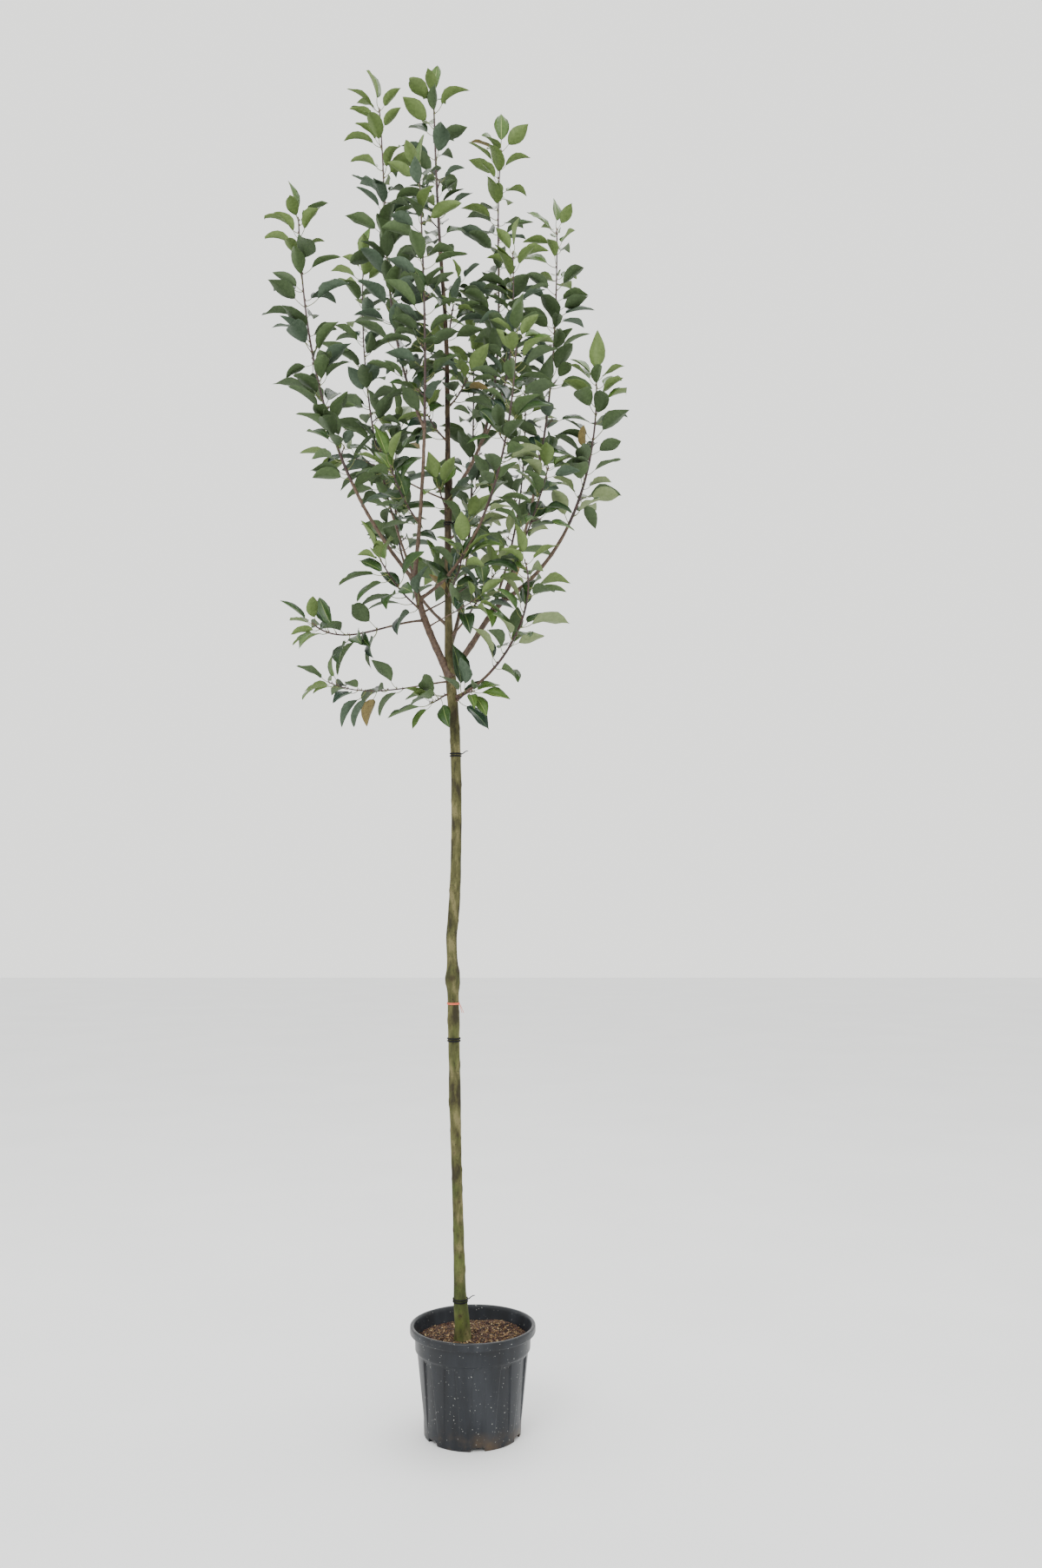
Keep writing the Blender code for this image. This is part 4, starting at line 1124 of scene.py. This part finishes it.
def make_trunk():
    """The stem as a grid of height and angle round its own bent line. Scars stand out as small rounded bumps,
    deepest at their middle, and the foot flares into its roots."""
    height = np.linspace(TRUNK[0][0] - 4 * MM, TRUNK[-1][0] + 2 * MM, TRUNK_ROWS)
    found = [trunk_point(h) for h in height.tolist()]
    path = np.array([point for point, _ in found])
    radius = np.array([r for _, r in found])[:, None]
    angle = around_circle(TRUNK_COLUMNS)[None, :]
    relief = ripple(TRUNK_ROWS, TRUNK_COLUMNS, height, 3, STEM_UNEVEN)
    scar = np.zeros((TRUNK_ROWS, TRUNK_COLUMNS))
    for level, side, size in SCARS:
        off = (angle - math.radians(side + 90) + np.pi) % (2 * np.pi) - np.pi
        above = (height[:, None] - level) / (SCAR_HEIGHT * size)
        near = (off * radius / (SCAR_WIDTH * size)) ** 2 + above**2
        relief += SCAR_RELIEF * size * np.exp(-near) - SCAR_DIMPLE * size * np.exp(-4.5 * near)
        scar += 0.75 * np.exp(-2.2 * near)
    flare = np.exp(-np.clip(height - TRUNK[0][0], 0, 1) / FLARE_HEIGHT)[:, None]
    relief += ROOT_FLARE * flare * (1 + np.sin(3 * angle + 0.7))
    values = np.append(np.clip(scar, 0, 0.85).ravel(), (0, 0))
    batch = Batch()
    batch.take(*closed_tube(path, radius + relief, TRUNK_COLUMNS))
    batch.piece("stem", [trunk_bark()], ["trunk"], values)


def limb_path(course, start, end, step):
    """Evenly spaced shares of a limb, about a step apart, with the points and radii there."""
    count = max(5, round(course.length * (end - start) / step))
    shares = np.linspace(start, end, count)
    path = np.array([course.point(t) for t in shares.tolist()])
    return shares, path, np.array([course.radius(t) for t in shares.tolist()])


def nodes_starting(start):
    """Names of the solids' nodes that begin with those letters."""
    return [name for name in frame["nodes"] if name.startswith(start)]


def make_boughs(courses):
    """The bare part of each limb, from inside its parent, with a collar at the fork, a swelling at each old
    leaf node and an uneven skin."""
    batch = Batch()
    for number, course in enumerate(courses.values()):
        limb = course.limb
        end = limb.bare if limb.bare > 0 else min(0.3, 0.03 / course.length)
        shares, path, radius = limb_path(course, 0.0, end, BOUGH_STEP)
        along = shares * course.length
        if limb.parent == "trunk":
            parent = trunk_point(limb.fork)[1]
        else:
            parent = courses[limb.parent].limb.thick * MM / 2
        collar = 1 + FORK_SWELL * np.exp(-((along / (parent + 8 * MM)) ** 2))
        uneven = ripple(len(shares), BOUGH_COLUMNS, along, number, BOUGH_UNEVEN) * radius[:, None]
        nodes = np.arange(FIRST_NODE, along[-1], NODE_STEP) if along[-1] > FIRST_NODE + 0.01 else ()
        swell = sum((np.exp(-(((along - node) / NODE_WIDTH) ** 2)) for node in nodes), np.zeros(len(along)))
        radii = (radius * (collar + NODE_SWELL * swell))[:, None] + uneven
        batch.take(*closed_tube(path, radii, BOUGH_COLUMNS))
    skin = wood_skin("two_year_bark", "36241b", "5e4a38", 0.6)
    batch.piece("boughs", [skin], nodes_starting("bough_"))


def make_shoots(courses, spurs):
    """The leafy part of each limb and the short spurs, round and tapering, swollen a little at every leaf."""
    batch = Batch()
    for course in courses.values():
        if course.limb.bare == 1:
            continue
        start = max(0.0, course.limb.bare - 0.004)
        shares, path, radius = limb_path(course, start, 1.0, SHOOT_STEP)
        nodes = np.sin(np.pi * (shares - start) * course.length / SHOOT_NODE)
        radius = radius * (1 + NODE_SWELL * nodes**8)
        radius[-1] *= 0.6
        batch.take(*closed_tube(path, radius, SHOOT_COLUMNS))
    for foot, end in spurs:
        path = np.array([foot + (end - foot) * t for t in SPUR_PLACES])
        batch.take(*closed_tube(path, np.array(SPUR_SHAPE) * SPUR_RADIUS * 0.85, 8))
    skin = wood_skin("one_year_bark", "221212", "3c211d", 0.42, 0.02)
    batch.piece("shoots", [skin], nodes_starting("leaves_"))


def leaf_arrays(leaves):
    """The leaves' own frames as arrays."""
    return {key: np.array([getattr(leaf, key) for leaf in leaves], float) for key in Leaf._fields}


def blades(leaves, seed):
    """Blades that arch less than those of the solids, apart from the few that would leave the solids' box."""
    low, high = np.array(solid_box)
    full = np.array([leaf.bend for leaf in leaves])
    points, _, _ = blades_bent(leaves, full * REAL_BEND, seed)
    out = ((points < low) | (points > high)).reshape(len(leaves), -1).any(axis=1)
    points, faces, skins = blades_bent(leaves, np.where(out, full, full * REAL_BEND), seed)
    return np.clip(points, low, high), faces, skins


def blades_bent(leaves, bend, seed):
    """Blades as closed rings of points across each leaf. The half width follows sin(pi u^0.8)^0.9 along the
    leaf, narrowed towards a pointed tip, the midrib turns by bend u^1.25, the halves fold up, the margins
    wave, and the underside lies half a millimetre below. Quads on both skins are cut along the same
    diagonal."""
    rng = np.random.default_rng(seed)
    a = leaf_arrays(leaves)
    count = len(leaves)
    fine = np.linspace(0, 1, MIDRIB_STEPS + 1)
    turn = bend[:, None] * fine[None] ** MIDRIB_CURVE
    steps = np.stack([np.cos(turn), -np.sin(turn)], -1) / MIDRIB_STEPS
    summed = np.cumsum((steps[:, 1:] + steps[:, :-1]) / 2, axis=1)
    line = np.concatenate([np.zeros((count, 1, 2)), summed], axis=1)

    def at(u):
        """Points of the midrib and its local upward directions, at shares of its length."""
        place = np.interp(u, fine, np.arange(MIDRIB_STEPS + 1))
        low = np.minimum(place.astype(int), MIDRIB_STEPS - 1)
        part = (place - low)[None, :, None]
        spot = line[:, low] * (1 - part) + line[:, low + 1] * part
        angle = (bend[:, None] * u[None] ** MIDRIB_CURVE)[..., None]
        ahead, normal = a["ahead"][:, None], a["normal"][:, None]
        reach = spot[..., :1] * ahead + spot[..., 1:] * normal
        spine = a["base"][:, None] + a["length"][:, None, None] * reach
        return spine, np.cos(angle) * normal + np.sin(angle) * ahead

    spine, up = at(BLADE_ROWS)
    twist = np.radians(rng.uniform(-TWIST, TWIST, count))[:, None, None] * BLADE_ROWS[None, :, None]
    side = np.cos(twist) * a["side"][:, None] + np.sin(twist) * up
    up = np.cos(twist) * up - np.sin(twist) * a["side"][:, None]
    shape = np.sin(np.pi * BLADE_ROWS**0.8) ** 0.9 * (1 - 0.35 * BLADE_ROWS**6)
    half = REAL_SPREAD * a["width"][:, None] / 2 * shape[None]
    v = BLADE_COLUMNS
    across = half[:, :, None] * v
    fold = a["fold"][:, None, None]
    lift = np.sin(fold) * np.abs(across) * (0.75 + 0.25 * np.abs(v))
    wave = rng.uniform(*WAVE_DEPTH, (count, 1, 1)) * a["length"][:, None, None] * v**2
    phase = rng.uniform(0, 2 * np.pi, (count, 1, 1)) + np.where(v > 0, 2.1, 0.0)
    waves = rng.uniform(*WAVE_RADIANS, (count, 1, 1)) * BLADE_ROWS[None, :, None]
    lift = lift + wave * 0.5 * np.sin(waves + phase)
    lift = lift - UNDERSIDE * BLADE_THICKNESS - UNDERSIDE * (v == 0) * RIB_RELIEF
    points = spine[:, :, None] + (np.cos(fold) * across)[..., None] * side[:, :, None]
    points = points + lift[..., None] * up[:, :, None]
    tip, _ = at(np.array((1.0,)))
    rows, columns = len(BLADE_ROWS), len(v)
    points = np.concatenate([points.reshape(count, -1, 3), a["base"][:, None], tip], axis=1)
    quads = grid_faces(rows, columns)
    under = np.tile(np.arange(columns) > 5, rows - 1)
    quads[under] = np.roll(quads[under], 1, axis=1)
    skins = [np.tile(BLADE_SKINS, (rows - 1) * count), np.tile(BLADE_SKINS, 2 * count)]
    return *repeated(points, [quads, fans(rows * columns, columns)]), skins


def stalk_shapes(leaves):
    """Stalks: five-sided tubes from the twig to the blade, a little arched, thicker at the foot."""
    a = leaf_arrays(leaves)
    count = len(leaves)
    u = np.linspace(0, 1, STALK_RINGS)[None, :, None]
    run = a["base"] - a["root"]
    size = np.linalg.norm(run, axis=1)[:, None, None]
    sag = STALK_SAG * size * np.sin(np.pi * u) * a["normal"][:, None]
    path = a["root"][:, None] + u * STALK_RUN * run[:, None] - sag
    angles = around_circle(STALK_SIDES)[:, None]
    size_share = (a["length"] / LEAF_LENGTH)[:, None, None]
    radius = (STALK_FOOT - STALK_THINS * np.minimum(u * 3, 1)) * MM * size_share
    spoke = np.cos(angles) * a["side"][:, None, None] + np.sin(angles) * a["normal"][:, None, None]
    points = (path[:, :, None] + radius[..., None] * spoke).reshape(count, -1, 3)
    each = STALK_RINGS * STALK_SIDES
    caps = np.array([tuple(range(STALK_SIDES)), tuple(reversed(range(each - STALK_SIDES, each)))])
    return repeated(points, [grid_faces(STALK_RINGS, STALK_SIDES)[:, ::-1], caps])


def bud_shapes(leaves):
    """A small pointed bud in the angle over each stalk: rings, a tip and a foot."""
    a = leaf_arrays(leaves)
    out = unit(a["base"] - a["root"])
    way = unit(BUD_LEAN * out + (0, 0, 1.0))
    middle = a["root"] + BUD_OUT * out + BUD_UP * way
    first = unit(np.cross(way, out))
    second = np.cross(way, first)
    angles = around_circle(BUD_SIDES)[:, None]
    spoke = np.cos(angles) * first[:, None] + np.sin(angles) * second[:, None]
    rings = [middle[:, None] + rise * way[:, None] + radius * spoke for rise, radius in BUD_RINGS]
    ends = [(middle + BUD_TIP * way)[:, None], (middle - BUD_FOOT * way)[:, None]]
    count = len(BUD_RINGS) * BUD_SIDES
    rim = np.arange(BUD_SIDES)
    closing = np.vstack([fan(count, rim + count - BUD_SIDES, False), fan(count + 1, rim, True)])
    return repeated(np.concatenate(rings + ends, axis=1), [grid_faces(len(BUD_RINGS), BUD_SIDES), closing])


def tint_of(leaf, share, rng):
    """A leaf's tint: dry now and then, mostly young near a limb's tip, and often paler low down on the right,
    as painted light shining through the leaves there.
    """
    low = leaf.base.z < PAINTED_BACKLIGHT_BELOW and leaf.base.x > PAINTED_BACKLIGHT_RIGHT_OF
    if rng.random() < DRY_SHARE:
        return "leaves_dry"
    if share > YOUNG_REACH and rng.random() < YOUNG_TINTED:
        return "leaves_young"
    # Painted light: a paler tint for leaves low down on the right, where light shines through them
    if low and rng.random() < PAINTED_BACKLIGHT_SHARE:
        return "leaves_pale"
    return rng.choice(COMMON_TINTS)


def make_leaves(grown):
    """Leaves in six tints, each a piece of its own, with their stalks and buds."""
    rng = random.Random("tints")
    kinds = {name: [] for name in TINTS}
    for leaf, share in grown:
        kinds[tint_of(leaf, share, rng)].append(leaf)
    for seed, (name, leaves) in enumerate(kinds.items()):
        if leaves:
            batch = Batch()
            batch.take(*blades(leaves, seed))
            batch.piece(name + "_blades", leaf_skins(name, *TINTS[name]))
    everything = [leaf for leaf, _ in grown]
    for name, shapes, skin, slot in (
        ("leaf_stalks", stalk_shapes, ("green_stalk", "4d5227", "71793c", 0.5), "foliage"),
        ("buds", bud_shapes, ("bud_scales", "3a2320", "5c3c32", 0.5), "shoot_bark"),
    ):
        batch = Batch()
        batch.take(*shapes(everything))
        batch.piece(name, [wood_skin(*skin)])


def band(batch, centre, radius, thick, tall):
    """A flat ring round the stem: a rounded section carried round a circle, tilted a little."""
    count, sides = 64, 10
    turn = around_circle(count)[:, None]
    section = around_circle(sides)[None]
    r = radius + thick * np.cos(section)
    x = centre[0] + r * np.cos(turn)
    y = centre[1] + r * np.sin(turn)
    z = centre[2] + tall * np.sin(section) + 0.8 * MM * np.sin(turn)
    batch.take(np.stack([x, y, z], -1), [grid_faces(count + 1, sides)[:, ::-1] % (count * sides)])


def stem_at(courses, height):
    """Centre and radius of the stem, or of the leading shoot above it."""
    top = TRUNK[-1][0]
    if height <= top:
        point, radius = trunk_point(height)
        return np.array(point), radius
    course = courses["leader_tip"]
    share = (height - top) / (course.limb.tip[2] - top)
    return np.array(course.at_height(height)), course.radius(share)


def make_ties(courses):
    """Soft black ties in double turns round the stem, with short tails."""
    ties = Batch()
    for height, way in BANDS:
        centre, radius = stem_at(courses, height)
        for lift in BAND_LIFTS:
            band(ties, centre + np.array((0, 0, lift)), radius + 1.6 * MM, 1.6 * MM, 2.2 * MM)
        a = math.radians(way)
        out = np.array((math.cos(a), math.sin(a), 0.0))
        tail = [centre + out * (radius + away) + np.array((0, 0, rise)) for away, rise in TAIL_STEPS]
        ties.take(*closed_tube(tail, np.array(TAIL_RADII) * MM, 8))
    # Soft vinyl: black and matt, with hardly a highlight
    levels = {"Roughness": 0.6, "Specular IOR Level": 0.15}
    ties.piece("stem_ties", [mottled("soft_vinyl", "0c0d0e", "17181a", 0.006, 3.0, levels)])


def make_string(courses):
    """An orange string in two turns round the stem, with two hanging ends."""
    string = Batch()
    centre, radius = stem_at(courses, STRING_HEIGHT)
    for lift in STRING_LIFTS:
        band(string, centre + np.array((0, 0, lift)), radius + 1.2 * MM, 1.1 * MM, 1.2 * MM)
    start = radius + 1 * MM
    for apart in STRING_SPREADS:
        back = -0.004 - apart / 4
        tail = [centre + np.array((start + x + apart * t, back, z)) for t, x, z in STRING_STEPS]
        string.take(*closed_tube(tail, np.full(len(tail), STRING_RADIUS), 6))
    # Twisted polypropylene: bright but matt, with fine mottling in place of its strands
    skin = mottled("twisted_polypropylene", "c8502e", "e8795a", 0.002, 3.0, {"Roughness": 0.6})
    string.piece("string_mark", [skin])


def grow_fill(course, room):
    """Smaller leaves between those of the first pass, where there is room for them."""
    limb = course.limb
    rng = random.Random(limb.name + " fill")
    leafy = course.length * (1 - limb.bare)
    count = round(leafy / FILL_SPACING)
    found = []
    for k in range(count):
        share = (k + rng.random()) / count
        t = limb.bare + (1 - limb.bare) * share * FILL_REACH
        root, along = course.point(t), course.tangent(t)
        around = rng.uniform(0, 2 * math.pi)
        lean = math.radians(rng.uniform(*LEAF_LEAN))
        size = rng.uniform(*FILL_SIZE)
        leaf = try_leaf(room, root, along, around, lean, size, rng, None, FILL_CLEARANCE, FILL_TRIES)
        if leaf:
            found.append((leaf, share))
    return found


def grow_crown():
    """All limbs in order, then the leaves of each, by the seeded rule and order of draws of the solids."""
    courses, room = {}, Room()
    room.take(trunk_tube(CLEARANCE), ask=False)
    for limb in LIMBS:
        courses[limb.name] = Course(limb, courses)
        room.take(course_tube(courses[limb.name], CLEARANCE), ask=False)
    leafy = [courses[limb.name] for limb in LIMBS if limb.bare < 1]
    grown, spurs = [], []
    for course in leafy:
        leaves, more = grow_mass(course, room)
        grown += leaves
        spurs += more
    for course in leafy:
        grown += grow_fill(course, room)
    return courses, grown, spurs


def make_stage():
    """A pale floor, a bright even sky, two large soft lights and the camera."""
    bpy.ops.mesh.primitive_plane_add(size=40)
    floor = bpy.context.object
    floor.name = "floor"
    # Painted boards: pale and matt, hardly uneven
    floor.data.materials.append(mottled("pale_floor", "e6e7e8", "eaebec", 0.8, 2.0, {"Roughness": 0.7}))
    scene = bpy.context.scene
    scene.world = bpy.data.worlds.new("studio")
    scene.world.use_nodes = True
    sky = scene.world.node_tree
    feed(sky, sky.nodes["Background"], {"Color": linear("eeeeeb"), "Strength": SKY_STRENGTH})
    for name, place, size, power in LIGHTS:
        light = bpy.data.lights.new(name, "AREA")
        light.size = size
        light.energy = power
        obj = bpy.data.objects.new(name, light)
        obj.location = place
        obj.rotation_euler = (Vector(LIT_POINT) - Vector(place)).to_track_quat("-Z", "Y").to_euler()
        scene.collection.objects.link(obj)
    camera = bpy.data.objects.new("camera", bpy.data.cameras.new("camera"))
    camera.data.lens = CAMERA_LENS
    camera.data.sensor_width = CAMERA_SENSOR
    camera.location = CAMERA_PLACE
    camera.rotation_euler = (math.radians(CAMERA_PITCH), 0, 0)
    scene.collection.objects.link(camera)
    scene.camera = camera


make_stage()
limb_courses, grown_leaves, grown_spurs = grow_crown()
make_pot()
soil_rng = np.random.default_rng(5)
make_bed(soil_rng)
make_chips(soil_rng)
make_trunk()
make_boughs(limb_courses)
make_shoots(limb_courses, grown_spurs)
make_leaves(grown_leaves)
make_ties(limb_courses)
make_string(limb_courses)
